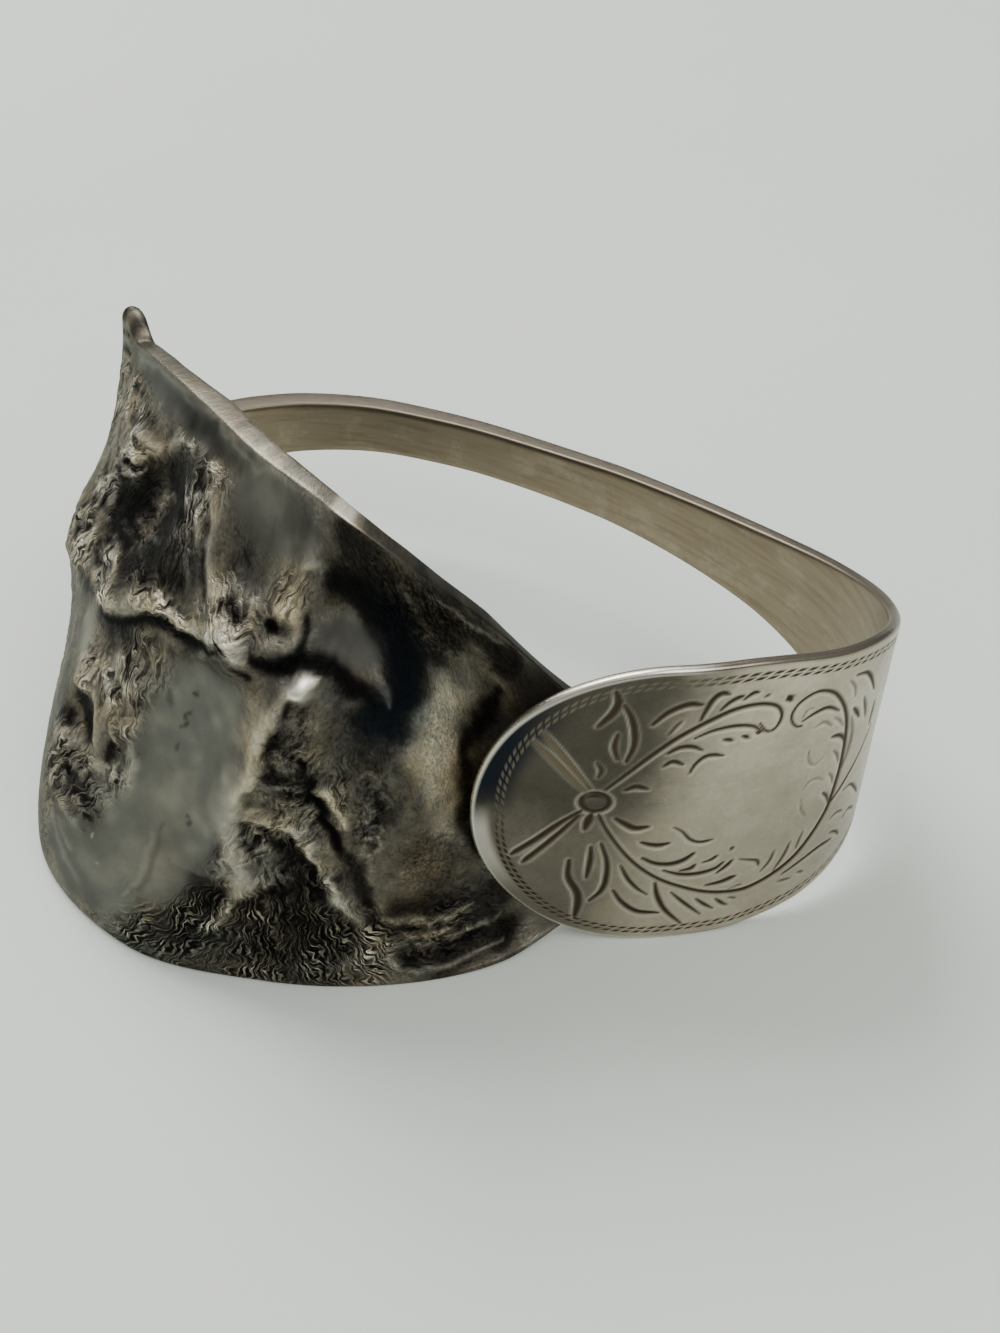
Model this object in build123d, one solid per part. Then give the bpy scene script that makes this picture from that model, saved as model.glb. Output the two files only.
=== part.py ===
"""Spoon handle bracelet: a serving spoon bent into a cuff, lying on its side edge.

The handle is a flat strip that stands on edge. Its broad round end is at the front and its narrow neck
at the back. The bowl starts at the neck, runs round the left end and ends behind the broad end.
Millimetres, Z up, resting plane Z = 0, origin at the middle of the wrist opening.
"""
from build123d import *
import math
import os

# outside of the closed loop, seen from above
LOOP_LENGTH = 69.0
LOOP_DEPTH = 56.0
# handle strip
END_WIDTH = 27.0
STEM_WIDTH = 4.9
NECK_WIDTH = 5.8
END_THICKNESS = 0.8
STEM_THICKNESS = 1.2
NECK_THICKNESS = 2.4
# bowl shield
BOWL_HEIGHT = 38.2
BOWL_WALL = 1.6
BOWL_BULGE = 2.0
FOLD_HEIGHT = 2.0
FOLD_WIDTH = 2.0
HORN_HEIGHT = 2.9
HORN_WIDTH = 1.7
FLOOR_GAP = 0.03

HALF_LENGTH = LOOP_LENGTH / 2
HALF_DEPTH = LOOP_DEPTH / 2
BAND_LEVEL = END_WIDTH / 2 + FLOOR_GAP

# middle line of the strip, from the round end to the neck: shares of HALF_LENGTH and HALF_DEPTH
HANDLE_LINE = [
    (0.055, -0.864), (0.203, -0.868), (0.354, -0.864), (0.501, -0.850), (0.643, -0.811), (0.780, -0.736),
    (0.882, -0.611), (0.929, -0.452), (0.924, -0.275), (0.875, -0.097), (0.783, 0.084), (0.661, 0.257),
    (0.528, 0.414), (0.388, 0.554), (0.099, 0.779), (-0.087, 0.886), (-0.249, 0.950), (-0.430, 0.965),
    (-0.560, 0.934), (-0.630, 0.898), (-0.655, 0.880)]

# place along the strip as a share of its length, and the width there as shares of END_WIDTH, STEM_WIDTH
# and NECK_WIDTH
HANDLE_WIDTHS = [
    (0.000, 1.00, 0.0, 0.0), (0.165, 1.00, 0.0, 0.0), (0.214, 0.94, 0.0, 0.0), (0.273, 0.82, 0.0, 0.0),
    (0.331, 0.63, 0.0, 0.0), (0.409, 0.32, 0.58, 0.0), (0.497, 0.09, 1.08, 0.0), (0.652, 0.0, 1.08, 0.0),
    (0.820, 0.0, 1.0, 0.0), (1.000, 0.0, 0.0, 1.0)]

# the same for the thickness: shares of END_THICKNESS, STEM_THICKNESS and NECK_THICKNESS
HANDLE_THICKNESSES = [
    (0.00, 1.0, 0.0, 0.0), (0.195, 1.0, 0.0, 0.0), (0.497, 0.0, 1.0, 0.0), (1.00, 0.0, 0.0, 1.0)]

# bowl sections from the neck to the hidden tip. Columns: place along the bowl, foot x and y, rim x and y as
# shares of HALF_LENGTH and HALF_DEPTH, foot and rim heights as shares of BOWL_HEIGHT, bulge as a share of
# BOWL_BULGE
BOWL_SECTIONS = [
    (0.02, -0.711, 0.885, 0.236, -0.709, 0.885, 0.440, 0.00),
    (0.05, -0.762, 0.818, 0.115, -0.747, 0.814, 0.480, 0.10),
    (0.10, -0.838, 0.700, 0.015, -0.775, 0.690, 0.570, 0.40),
    (0.16, -0.900, 0.470, 0.000, -0.762, 0.440, 0.730, 0.70),
    (0.24, -0.930, 0.179, 0.000, -0.676, 0.143, 0.905, 0.90),
    (0.34, -0.962, -0.196, 0.000, -0.554, -0.140, 0.966, 1.15),
    (0.44, -0.933, -0.589, 0.000, -0.436, -0.372, 0.988, 1.20),
    (0.54, -0.692, -0.902, 0.000, -0.320, -0.590, 0.999, 1.00),
    (0.64, -0.394, -1.010, 0.000, -0.190, -0.757, 0.988, 0.90),
    (0.74, -0.133, -1.026, 0.000, -0.046, -0.812, 0.896, 0.20),
    (0.84, 0.106, -0.964, 0.005, 0.104, -0.771, 0.742, -1.15),
    (0.92, 0.268, -0.840, 0.030, 0.255, -0.754, 0.575, -0.50),
    (0.97, 0.372, -0.780, 0.085, 0.372, -0.745, 0.460, 0.00),
    (1.00, 0.430, -0.765, 0.190, 0.430, -0.745, 0.330, 0.00)]

# sharp folds of the melted bowl. Columns: height as a share of FOLD_HEIGHT, half width as a share of
# FOLD_WIDTH, then the line of the crest as places along and up the bowl
FOLDS = [
    (0.85, 1.0, [(0.40, 0.60), (0.43, 0.63), (0.463, 0.673), (0.50, 0.71), (0.54, 0.73), (0.58, 0.735),
                 (0.61, 0.72)]),
    (0.50, 0.6, [(0.50, 0.906), (0.516, 0.87), (0.531, 0.832), (0.55, 0.80), (0.575, 0.765), (0.60, 0.735)]),
    (0.55, 0.8, [(0.61, 0.79), (0.622, 0.83), (0.63, 0.88), (0.65, 0.93)]),
    (0.85, 0.9, [(0.672, 0.715), (0.65, 0.715), (0.634, 0.69), (0.627, 0.62), (0.618, 0.52), (0.614, 0.43),
                 (0.612, 0.34), (0.62, 0.24)]),
    (0.65, 0.7, [(0.622, 0.445), (0.65, 0.437), (0.673, 0.39), (0.69, 0.30), (0.71, 0.225), (0.73, 0.14),
                 (0.745, 0.07)]),
    (0.40, 0.5, [(0.68, 0.545), (0.695, 0.47), (0.703, 0.42), (0.722, 0.35)]),
    (0.40, 0.6, [(0.31, 0.80), (0.35, 0.845), (0.40, 0.90), (0.45, 0.945)]),
    (0.30, 0.7, [(0.22, 0.38), (0.25, 0.52), (0.30, 0.64), (0.36, 0.68)]),
    (0.45, 0.6, [(0.43, 0.45), (0.46, 0.475), (0.478, 0.42), (0.485, 0.36)])]

# broad swells and hollows. Columns: place along and up, half spread along and up, height as a share of
# FOLD_HEIGHT
SWELLS = [
    (0.585, 0.73, 0.035, 0.07, 0.80), (0.655, 0.60, 0.035, 0.12, 1.00), (0.700, 0.83, 0.060, 0.09, -0.70),
    (0.410, 0.80, 0.045, 0.09, -0.90), (0.288, 0.60, 0.055, 0.15, 0.92), (0.455, 0.38, 0.018, 0.06, -0.50),
    (0.550, 0.42, 0.040, 0.18, -0.40), (0.770, 0.55, 0.030, 0.25, 0.25), (0.170, 0.55, 0.050, 0.20, 0.35)]

ALONG_STEPS = 96
UP_STEPS = 30
STRIP_STEPS = 60


def table_value(rows, place):
    """Smooth value of each column at a place: cubic between the rows, with slopes from the neighbours."""
    spots = [row[0] for row in rows]
    last = len(rows) - 1
    low = 0
    while low < last - 1 and spots[low + 1] <= place:
        low += 1
    span = spots[low + 1] - spots[low]
    t = (place - spots[low]) / span

    def slope(index, column):
        first = max(index - 1, 0)
        second = min(index + 1, last)
        return (rows[second][column] - rows[first][column]) / (spots[second] - spots[first])

    values = []
    for column in range(1, len(rows[0])):
        start = rows[low][column]
        end = rows[low + 1][column]
        values.append((2 * t**3 - 3 * t**2 + 1) * start + (3 * t**2 - 2 * t**3) * end
                      + ((t**3 - 2 * t**2 + t) * slope(low, column)
                         + (t**3 - t**2) * slope(low + 1, column)) * span)
    return values


def line_rows(points):
    """Rows with the share of the length in front of each point."""
    lengths = [0.0]
    for one, two in zip(points, points[1:]):
        lengths.append(lengths[-1] + math.dist(one, two))
    return [(length / lengths[-1],) + tuple(point) for length, point in zip(lengths, points)], lengths[-1]


HANDLE_ROWS, HANDLE_LENGTH = line_rows([(x * HALF_LENGTH, y * HALF_DEPTH) for x, y in HANDLE_LINE])


def handle_point(place):
    """Middle of the strip and its outward direction at a share of its length."""
    x, y = table_value(HANDLE_ROWS, place)
    step = 0.002
    low = table_value(HANDLE_ROWS, max(place - step, 0))
    high = table_value(HANDLE_ROWS, min(place + step, 1))
    dx = high[0] - low[0]
    dy = high[1] - low[1]
    size = math.hypot(dx, dy)
    return x, y, dy / size, -dx / size


def handle_width(place):
    """Width of the strip, with the round end."""
    end, stem, neck = table_value(HANDLE_WIDTHS, place)
    width = end * END_WIDTH + stem * STEM_WIDTH + neck * NECK_WIDTH
    radius = END_WIDTH / 2
    inward = place * HANDLE_LENGTH
    if inward < radius:
        return 2 * math.sqrt(max(radius**2 - (radius - inward)**2, 0))
    return min(width, END_WIDTH)


def handle_thickness(place):
    end, stem, neck = table_value(HANDLE_THICKNESSES, place)
    return end * END_THICKNESS + stem * STEM_THICKNESS + neck * NECK_THICKNESS


def handle_places():
    """Shares of the strip's length: close together round the end, then even."""
    radius_share = END_WIDTH / 2 / HANDLE_LENGTH
    round_steps = 12
    first_angle = 0.10
    places = []
    for step in range(round_steps):
        angle = first_angle + (math.pi / 2 - first_angle) * step / round_steps
        places.append(radius_share * (1 - math.cos(angle)))
    for step in range(STRIP_STEPS + 1):
        places.append(radius_share + (1 - radius_share) * step / STRIP_STEPS)
    return places


def closed_sheet(outer_columns, inner_columns):
    """Solid lofted through one closed section per column: outer side, rim, inner side and foot."""
    steps = len(outer_columns[0]) - 1
    spots = [step / steps for step in range(steps + 1)]
    sections = []
    for outer, inner in zip(outer_columns, inner_columns):
        if steps == 1:
            sides = [Edge.make_line(outer[0], outer[1]), Edge.make_line(inner[1], inner[0])]
        else:
            sides = [Edge.make_spline(outer, parameters=spots), Edge.make_spline(inner[::-1], parameters=spots)]
        rim = Edge.make_line(outer[-1], inner[-1])
        foot = Edge.make_line(inner[0], outer[0])
        sections.append(Wire([sides[0], rim, sides[1], foot]))
    return Solid.make_loft(sections, ruled=False)


def handle_columns():
    """Outer and inner points of the strip, which stands on edge along the handle line."""
    outer = []
    inner = []
    for place in handle_places():
        x, y, out_x, out_y = handle_point(place)
        half_width = handle_width(place) / 2
        half_thickness = handle_thickness(place) / 2
        for grid, side in ((outer, half_thickness), (inner, -half_thickness)):
            grid.append([Vector(x + out_x * side, y + out_y * side,
                                BAND_LEVEL + half_width * (2 * rise / UP_STEPS - 1))
                         for rise in range(UP_STEPS + 1)])
    return outer, inner


def neck_section():
    """First row of the bowl: the outer side of the handle's end."""
    x, y, out_x, out_y = handle_point(1)
    x += out_x * NECK_THICKNESS / 2
    y += out_y * NECK_THICKNESS / 2
    half = NECK_WIDTH / 2
    return (0.0, x, y, BAND_LEVEL - half, x, y, BAND_LEVEL + half, 0.0)


def bowl_rows():
    """Bowl sections in millimetres."""
    rows = [neck_section()]
    for place, foot_x, foot_y, foot_z, rim_x, rim_y, rim_z, bulge in BOWL_SECTIONS:
        rows.append((place, foot_x * HALF_LENGTH, foot_y * HALF_DEPTH, foot_z * BOWL_HEIGHT,
                     rim_x * HALF_LENGTH, rim_y * HALF_DEPTH, rim_z * BOWL_HEIGHT, bulge * BOWL_BULGE))
    return rows


BOWL_ROWS = bowl_rows()
BOWL_LENGTH = sum(math.dist(((one[1] + one[4]) / 2, (one[2] + one[5]) / 2),
                            ((two[1] + two[4]) / 2, (two[2] + two[5]) / 2))
                  for one, two in zip(BOWL_ROWS, BOWL_ROWS[1:]))


def plain_point(along, up):
    """Point of the smooth bowl and its outward direction in plan."""
    foot_x, foot_y, foot_z, rim_x, rim_y, rim_z, bulge = table_value(BOWL_ROWS, along)
    step = 0.004
    low = table_value(BOWL_ROWS, max(along - step, 0))
    high = table_value(BOWL_ROWS, min(along + step, 1))
    dx = high[0] + high[3] - low[0] - low[3]
    dy = high[1] + high[4] - low[1] - low[4]
    size = math.hypot(dx, dy)
    out_x = dy / size
    out_y = -dx / size
    swell = bulge * math.sin(math.pi * up**0.7)
    foot_z = max(foot_z, 0.0) + FLOOR_GAP
    x = foot_x + (rim_x - foot_x) * up + out_x * swell
    y = foot_y + (rim_y - foot_y) * up + out_y * swell
    return x, y, foot_z + (rim_z - foot_z) * up, out_x, out_y


def swell_height(along, up):
    """Broad swells and hollows, in millimetres outward."""
    height = 0.0
    for place, level, spread_along, spread_up, share in SWELLS:
        far = ((along - place) / spread_along)**2 + ((up - level) / spread_up)**2
        height += share * FOLD_HEIGHT * math.exp(-far)
    return height


def fold_height(along, up):
    """Sharp folds, in millimetres outward: a bell across the nearest piece of each crest line."""
    height = 0.0
    for share, width_share, crest in FOLDS:
        nearest = 1e9
        for one, two in zip(crest, crest[1:]):
            ax = (along - one[0]) * BOWL_LENGTH
            ay = (up - one[1]) * BOWL_HEIGHT
            bx = (two[0] - one[0]) * BOWL_LENGTH
            by = (two[1] - one[1]) * BOWL_HEIGHT
            t = min(max((ax * bx + ay * by) / (bx * bx + by * by), 0), 1)
            nearest = min(nearest, math.hypot(ax - t * bx, ay - t * by))
        height += share * FOLD_HEIGHT * math.exp(-(nearest / (width_share * FOLD_WIDTH))**2)
    return height


def edge_fade(along, up):
    """One inside the shield and nought at its foot, its rim, its neck and its tip."""
    edge_share = 0.10
    inside = min(up / edge_share, (1 - up) / edge_share, along / edge_share, (0.84 - along) / (0.5 * edge_share), 1)
    inside = max(inside, 0)
    return inside * inside * (3 - 2 * inside)


def horn_lift(along):
    """Extra rim height of the curled horn at the left end: steep sides and a flat top."""
    return HORN_HEIGHT * math.exp(-((along - 0.235) * BOWL_LENGTH / HORN_WIDTH)**4)


def bowl_columns():
    """Outer points with the folds, and inner points that only follow the broad swells."""
    outer = []
    inner = []
    for step in range(1, ALONG_STEPS + 1):
        along = step / ALONG_STEPS
        blend = min(along / 0.10, 1)
        wall = NECK_THICKNESS * (1 - blend) + BOWL_WALL * blend
        outer_column = []
        inner_column = []
        for rise in range(UP_STEPS + 1):
            up = rise / UP_STEPS
            x, y, z, out_x, out_y = plain_point(along, up)
            lift = horn_lift(along) * up**12
            z += lift
            fade = edge_fade(along, up)
            swell = swell_height(along, up) * fade
            relief = swell + fold_height(along, up) * fade + 0.15 * lift
            back = 0.5 * swell - wall
            outer_column.append(Vector(x + out_x * relief, y + out_y * relief, z))
            inner_column.append(Vector(x + out_x * back, y + out_y * back, z))
        outer.append(outer_column)
        inner.append(inner_column)
    return outer, inner


def main():
    os.makedirs("parts", exist_ok=True)
    handle_outer, handle_inner = handle_columns()
    bowl_outer, bowl_inner = bowl_columns()
    bracelet = closed_sheet(handle_outer + bowl_outer, handle_inner + bowl_inner)
    export_step(bracelet, "parts/spoon_bracelet.step")
    box = bracelet.bounding_box()
    print("solids", len(bracelet.solids()), "volume", round(bracelet.volume, 1), "valid", bracelet.is_valid)
    print("box", box.min, box.max, "centre of mass", bracelet.center(CenterOf.MASS))


main()
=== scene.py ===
"""Spoon handle bracelet, dressed: a pale engraved handle strip and a dark melted bowl with folds.

Lengths are in millimetres and become metres when a mesh is made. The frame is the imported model's own:
Z up, resting plane Z = 0, origin at the middle of the wrist opening.
"""
import math

import bpy
import numpy as np
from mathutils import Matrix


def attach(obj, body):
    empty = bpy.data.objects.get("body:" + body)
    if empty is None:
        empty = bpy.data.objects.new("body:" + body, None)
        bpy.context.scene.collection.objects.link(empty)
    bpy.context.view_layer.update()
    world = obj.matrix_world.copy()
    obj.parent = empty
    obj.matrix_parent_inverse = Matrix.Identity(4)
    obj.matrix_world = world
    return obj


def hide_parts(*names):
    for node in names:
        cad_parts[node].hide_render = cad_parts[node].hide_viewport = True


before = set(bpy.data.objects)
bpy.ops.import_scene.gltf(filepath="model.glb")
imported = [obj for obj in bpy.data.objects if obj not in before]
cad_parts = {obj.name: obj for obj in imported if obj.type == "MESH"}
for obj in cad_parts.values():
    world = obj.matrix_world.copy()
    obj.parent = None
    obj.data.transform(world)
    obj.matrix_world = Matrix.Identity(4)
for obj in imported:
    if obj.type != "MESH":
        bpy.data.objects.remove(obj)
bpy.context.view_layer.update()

# outside of the closed loop, strip and bowl: the same driving sizes as the solid
LOOP_LENGTH = 69.0
LOOP_DEPTH = 56.0
END_WIDTH = 27.0
STEM_WIDTH = 4.9
NECK_WIDTH = 5.8
END_THICKNESS = 0.8
STEM_THICKNESS = 1.2
NECK_THICKNESS = 2.4
BOWL_HEIGHT = 38.2
BOWL_WALL = 1.6
BOWL_BULGE = 2.0
FLOOR_GAP = 0.03
HALF_LENGTH = LOOP_LENGTH / 2
HALF_DEPTH = LOOP_DEPTH / 2
END_RADIUS = END_WIDTH / 2
BAND_LEVEL = END_RADIUS + FLOOR_GAP
EDGE_ROUND = 0.30

# middle line of the strip from the round end to the neck, as shares of HALF_LENGTH and HALF_DEPTH
HANDLE_LINE = np.array([
    (0.055, -0.864), (0.203, -0.868), (0.354, -0.864), (0.501, -0.850), (0.643, -0.811), (0.780, -0.736),
    (0.882, -0.611), (0.929, -0.452), (0.924, -0.275), (0.875, -0.097), (0.783, 0.084), (0.661, 0.257),
    (0.528, 0.414), (0.388, 0.554), (0.099, 0.779), (-0.087, 0.886), (-0.249, 0.950), (-0.430, 0.965),
    (-0.560, 0.934), (-0.630, 0.898), (-0.655, 0.880)]) * (HALF_LENGTH, HALF_DEPTH)

# place along the strip, then width as shares of END_WIDTH, STEM_WIDTH and NECK_WIDTH
HANDLE_WIDTHS = np.array([
    (0.000, 1.00, 0.0, 0.0), (0.165, 1.00, 0.0, 0.0), (0.214, 0.94, 0.0, 0.0), (0.273, 0.82, 0.0, 0.0),
    (0.331, 0.63, 0.0, 0.0), (0.409, 0.32, 0.58, 0.0), (0.497, 0.09, 1.08, 0.0), (0.652, 0.0, 1.08, 0.0),
    (0.820, 0.0, 1.0, 0.0), (1.000, 0.0, 0.0, 1.0)])
HANDLE_THICKNESSES = np.array([
    (0.00, 1.0, 0.0, 0.0), (0.195, 1.0, 0.0, 0.0), (0.497, 0.0, 1.0, 0.0), (1.00, 0.0, 0.0, 1.0)])

# bowl sections from the neck to the hidden tip: place along, foot x and y, foot height, rim x and y, rim
# height, bulge, as shares of HALF_LENGTH, HALF_DEPTH, BOWL_HEIGHT and BOWL_BULGE
BOWL_SECTIONS = np.array([
    (0.02, -0.711, 0.885, 0.236, -0.709, 0.885, 0.440, 0.00),
    (0.05, -0.762, 0.818, 0.115, -0.747, 0.814, 0.480, 0.10),
    (0.10, -0.838, 0.700, 0.015, -0.775, 0.690, 0.570, 0.40),
    (0.16, -0.900, 0.470, 0.000, -0.762, 0.440, 0.730, 0.70),
    (0.24, -0.930, 0.179, 0.000, -0.676, 0.143, 0.905, 0.90),
    (0.34, -0.962, -0.196, 0.000, -0.554, -0.140, 0.966, 1.15),
    (0.44, -0.933, -0.589, 0.000, -0.436, -0.372, 0.988, 1.20),
    (0.54, -0.692, -0.902, 0.000, -0.320, -0.590, 0.999, 1.00),
    (0.64, -0.394, -1.010, 0.000, -0.190, -0.757, 0.988, 0.90),
    (0.74, -0.133, -1.026, 0.000, -0.046, -0.812, 0.896, 0.20),
    (0.84, 0.106, -0.964, 0.005, 0.104, -0.771, 0.742, -1.15),
    (0.92, 0.268, -0.840, 0.030, 0.255, -0.754, 0.575, -0.50),
    (0.97, 0.372, -0.780, 0.085, 0.372, -0.745, 0.460, 0.00),
    (1.00, 0.430, -0.765, 0.190, 0.430, -0.745, 0.330, 0.00)])
BOWL_LENGTH = 95.0

# horn on the rim: its place along the bowl, height and half spread in mm
HORN_PLACE = 0.239
HORN_HEIGHT = 2.9
HORN_WIDTH = 1.25

# how far the faces of the bowl stop short of the rim and of the foot in mm, which the rolled edges fill
RIM_MARGIN = 0.22
FOOT_MARGIN = 0.12

# columns of the bowl's grid, and rows up its outer face, over each rolled edge and down its inner face
BOWL_COLUMNS = 474
OUTER_ROWS = 150
EDGE_ROWS = 9
INNER_ROWS = 36

# shift in mm of the places on the two inner faces, so that their stains differ from those outside
STRIP_SHIFT = 60
BOWL_SHIFT = 80

# end of the border cuts in mm from the tip, and the length of one cut with its gap
BORDER_END = 64
DASH_SPACING = 0.82

# tone of the bowl and shares of hair-fine ridges and of grain before any stroke or ground, direction in degrees
# that the flow of the ridges is counted from, spacing of the wrinkles in mm and how much longer than wide they
# are, straight pieces of a crest line or cut from point to point
BARE_TONE = 0.42
BARE_RIDGED = 0.12
BARE_GRAINY = 0.35
FLOW_START = 53.0
WRINKLE_SPACING = 0.9
WRINKLE_STRETCH = 3.4
STEPS_PER_SPAN = 5

# broad swells and hollows of the bowl: place along, level up, half spread along and up, height in mm
SWELLS = [
    (0.585, 0.73, 0.035, 0.07, 1.60), (0.655, 0.60, 0.035, 0.12, 2.00), (0.700, 0.83, 0.060, 0.09, -1.40),
    (0.410, 0.80, 0.045, 0.09, -1.80), (0.288, 0.60, 0.055, 0.15, 1.84), (0.455, 0.38, 0.018, 0.06, -1.00),
    (0.550, 0.42, 0.040, 0.18, -0.80), (0.770, 0.55, 0.030, 0.25, 0.50), (0.170, 0.55, 0.050, 0.20, 0.70)]

# rim of the bowl: place along, tone of its top with a painted highlight where it reaches 1, thickness there as
# a share of the wall
RIM = np.array([
    (0.00, 0.50, 1.00), (0.10, 0.30, 0.80), (0.20, 0.36, 0.75), (0.26, 0.42, 0.80), (0.34, 0.46, 0.88),
    (0.43, 0.52, 1.05), (0.50, 0.50, 1.02), (0.56, 0.60, 1.00), (0.600, 0.46, 0.97), (0.625, 0.54, 0.95),
    (0.646, 0.62, 0.93), (0.656, 1.00, 0.91), (0.672, 1.00, 0.90), (0.682, 0.56, 0.90), (0.700, 0.36, 0.92),
    (0.730, 0.30, 0.95), (0.77, 0.22, 1.05), (0.84, 0.22, 1.10), (0.90, 0.26, 1.00), (1.00, 0.30, 1.00)])

# folds: crest height and half width in mm, lean towards the left (1) or right (-1) of the way, then the crest
# line as places along and up the bowl in thousandths
FOLDS = [
    # crumple ridge, S ridge and the ridge that climbs to the rim
    (1.5, 1.7, 0.5, [(395, 600), (425, 630), (448, 652), (466, 680), (485, 702), (510, 715), (538, 732),
                     (565, 745), (590, 735), (612, 718)]),
    (0.7, 0.8, 0.4, [(497, 940), (503, 905), (516, 870), (530, 832), (545, 805), (565, 785), (585, 765),
                     (603, 745)]),
    (1.0, 1.4, 0.4, [(612, 775), (620, 820), (626, 860), (638, 900), (655, 935)]),
    # knob and ribbon, branch, groove with its crest, ribs
    (1.5, 1.6, -0.5, [(676, 700), (664, 716), (650, 716), (640, 703), (633, 675), (628, 630), (624, 570),
                      (618, 510), (613, 455), (612, 410), (616, 360), (622, 310), (624, 260), (618, 210)]),
    (0.6, 0.6, 0.2, [(614, 430), (630, 416), (650, 416), (664, 402), (673, 370), (683, 332), (692, 290),
                     (701, 248), (712, 212), (722, 175), (730, 139), (740, 93), (748, 40)]),
    (0.7, 0.5, 0.0, [(672, 575), (681, 542), (688, 504), (696, 467), (700, 440), (705, 410)]),
    (-0.45, 0.6, 0.0, [(664, 550), (668, 530), (678, 476), (689, 420), (698, 380), (704, 350)]),
    (0.3, 0.5, 0.0, [(622, 495), (637, 520), (650, 540), (666, 542)]),
    (0.4, 0.5, 0.0, [(626, 565), (640, 585), (655, 600)]),
    (0.25, 0.5, 0.0, [(640, 465), (652, 487), (662, 478)]),
    (0.3, 0.5, 0.0, [(632, 635), (644, 655), (660, 660)]),
    # fibres at the upper left and the crest over the dark concavity
    (0.6, 0.55, 0.0, [(318, 795), (335, 832), (350, 846), (365, 860), (384, 880)]),
    (0.5, 0.5, 0.0, [(322, 850), (343, 866), (362, 872), (382, 886)]),
    (0.5, 0.45, 0.0, [(325, 815), (345, 828), (366, 838)]),
    (0.5, 0.5, 0.0, [(315, 770), (339, 790), (358, 800), (368, 812)]),
    (0.4, 0.5, 0.0, [(320, 735), (335, 765), (352, 775)]),
    (0.4, 0.5, 0.0, [(308, 700), (325, 735), (343, 742)]),
    (0.6, 0.7, 0.0, [(385, 880), (403, 900), (414, 925), (433, 940), (456, 949), (478, 945), (492, 925),
                     (500, 905)]),
    (0.4, 0.45, 0.0, [(452, 945), (468, 915), (482, 885), (500, 855), (520, 815)]),
    (0.35, 0.45, 0.0, [(440, 900), (462, 885), (485, 850), (505, 800), (520, 765)]),
    # left bulge
    (0.5, 0.8, 0.0, [(294, 620), (310, 660), (335, 700), (360, 720)]),
    (0.5, 0.8, 0.0, [(300, 570), (325, 610), (350, 655), (380, 670)]),
    (0.5, 0.7, 0.0, [(315, 530), (345, 580), (375, 600), (400, 605)]),
    (0.4, 0.5, 0.0, [(375, 645), (400, 668), (425, 665)]),
    (0.5, 1.2, 0.0, [(215, 340), (235, 440), (260, 530), (285, 600)]),
    (0.5, 0.9, 0.0, [(235, 320), (250, 420), (275, 500), (310, 560), (345, 580)]),
    # back of the bowl
    (0.7, 1.0, 0.3, [(150, 860), (163, 660), (176, 460), (170, 260)]),
    (-0.8, 1.1, 0.0, [(196, 800), (214, 600), (202, 400)]),
    (-0.6, 0.9, 0.0, [(120, 620), (132, 420), (122, 240)]),
    (-0.6, 0.9, 0.0, [(272, 360), (284, 240), (306, 120)]),
    # textured folds left of the pool
    (0.9, 0.9, 0.2, [(427, 440), (440, 475), (455, 485), (467, 470), (476, 435), (481, 400), (486, 370)]),
    (0.6, 0.6, 0.0, [(438, 550), (460, 535), (480, 505), (492, 465), (500, 420)]),
    (0.5, 0.5, 0.0, [(460, 570), (480, 555), (500, 520), (509, 470), (513, 410), (514, 350)]),
    (0.4, 0.5, 0.0, [(470, 360), (484, 362), (494, 390)]),
    (0.5, 0.6, 0.0, [(428, 360), (440, 335), (452, 345), (462, 380)]),
    (0.4, 0.6, 0.0, [(440, 270), (455, 250), (475, 235), (490, 245)]),
    (0.3, 0.4, 0.0, [(455, 210), (466, 150), (480, 110), (500, 90)]),
    (0.3, 0.4, 0.0, [(464, 220), (474, 170), (487, 140)]),
    # lobe with its ring and streaks, arc over the pool
    (0.5, 0.5, 0.0, [(600, 800), (608, 812), (620, 812), (631, 800), (634, 780), (626, 762), (612, 758),
                     (601, 765)]),
    (0.4, 0.5, 0.0, [(545, 810), (565, 815), (585, 812), (602, 800)]),
    (0.4, 0.5, 0.0, [(548, 785), (570, 775), (590, 762), (605, 755)]),
    (0.4, 0.45, 0.0, [(555, 768), (575, 757), (592, 745), (605, 728)]),
    (0.35, 0.4, 0.0, [(541, 659), (556, 691), (568, 708), (579, 715), (590, 708), (600, 682)]),
    (0.35, 0.4, 0.0, [(500, 655), (515, 662), (532, 655)]),
    # bottom fan and the curved ridges at the lower right
    (0.6, 0.7, 0.0, [(625, 300), (620, 240), (610, 180), (598, 120)]),
    (0.4, 0.6, 0.0, [(645, 270), (650, 180), (655, 100)]),
    (0.4, 0.6, 0.0, [(672, 290), (685, 220), (695, 150), (700, 80)]),
    (0.4, 0.5, 0.0, [(722, 370), (724, 340), (728, 300), (735, 250), (744, 190), (757, 150)]),
    (0.3, 0.4, 0.0, [(735, 205), (757, 178), (785, 163), (820, 155)]),
    (0.3, 0.35, 0.0, [(750, 150), (775, 135), (810, 130)]),
    (0.4, 0.45, 0.0, [(742, 90), (752, 50), (775, 25), (810, 30), (840, 60)]),
    (0.25, 0.35, 0.0, [(765, 115), (790, 100), (825, 95), (850, 110)])]

# small knob between two folds: place along, level up, half spread along and up
KNOB = (0.655, 0.712, 0.012, 0.024)
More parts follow.
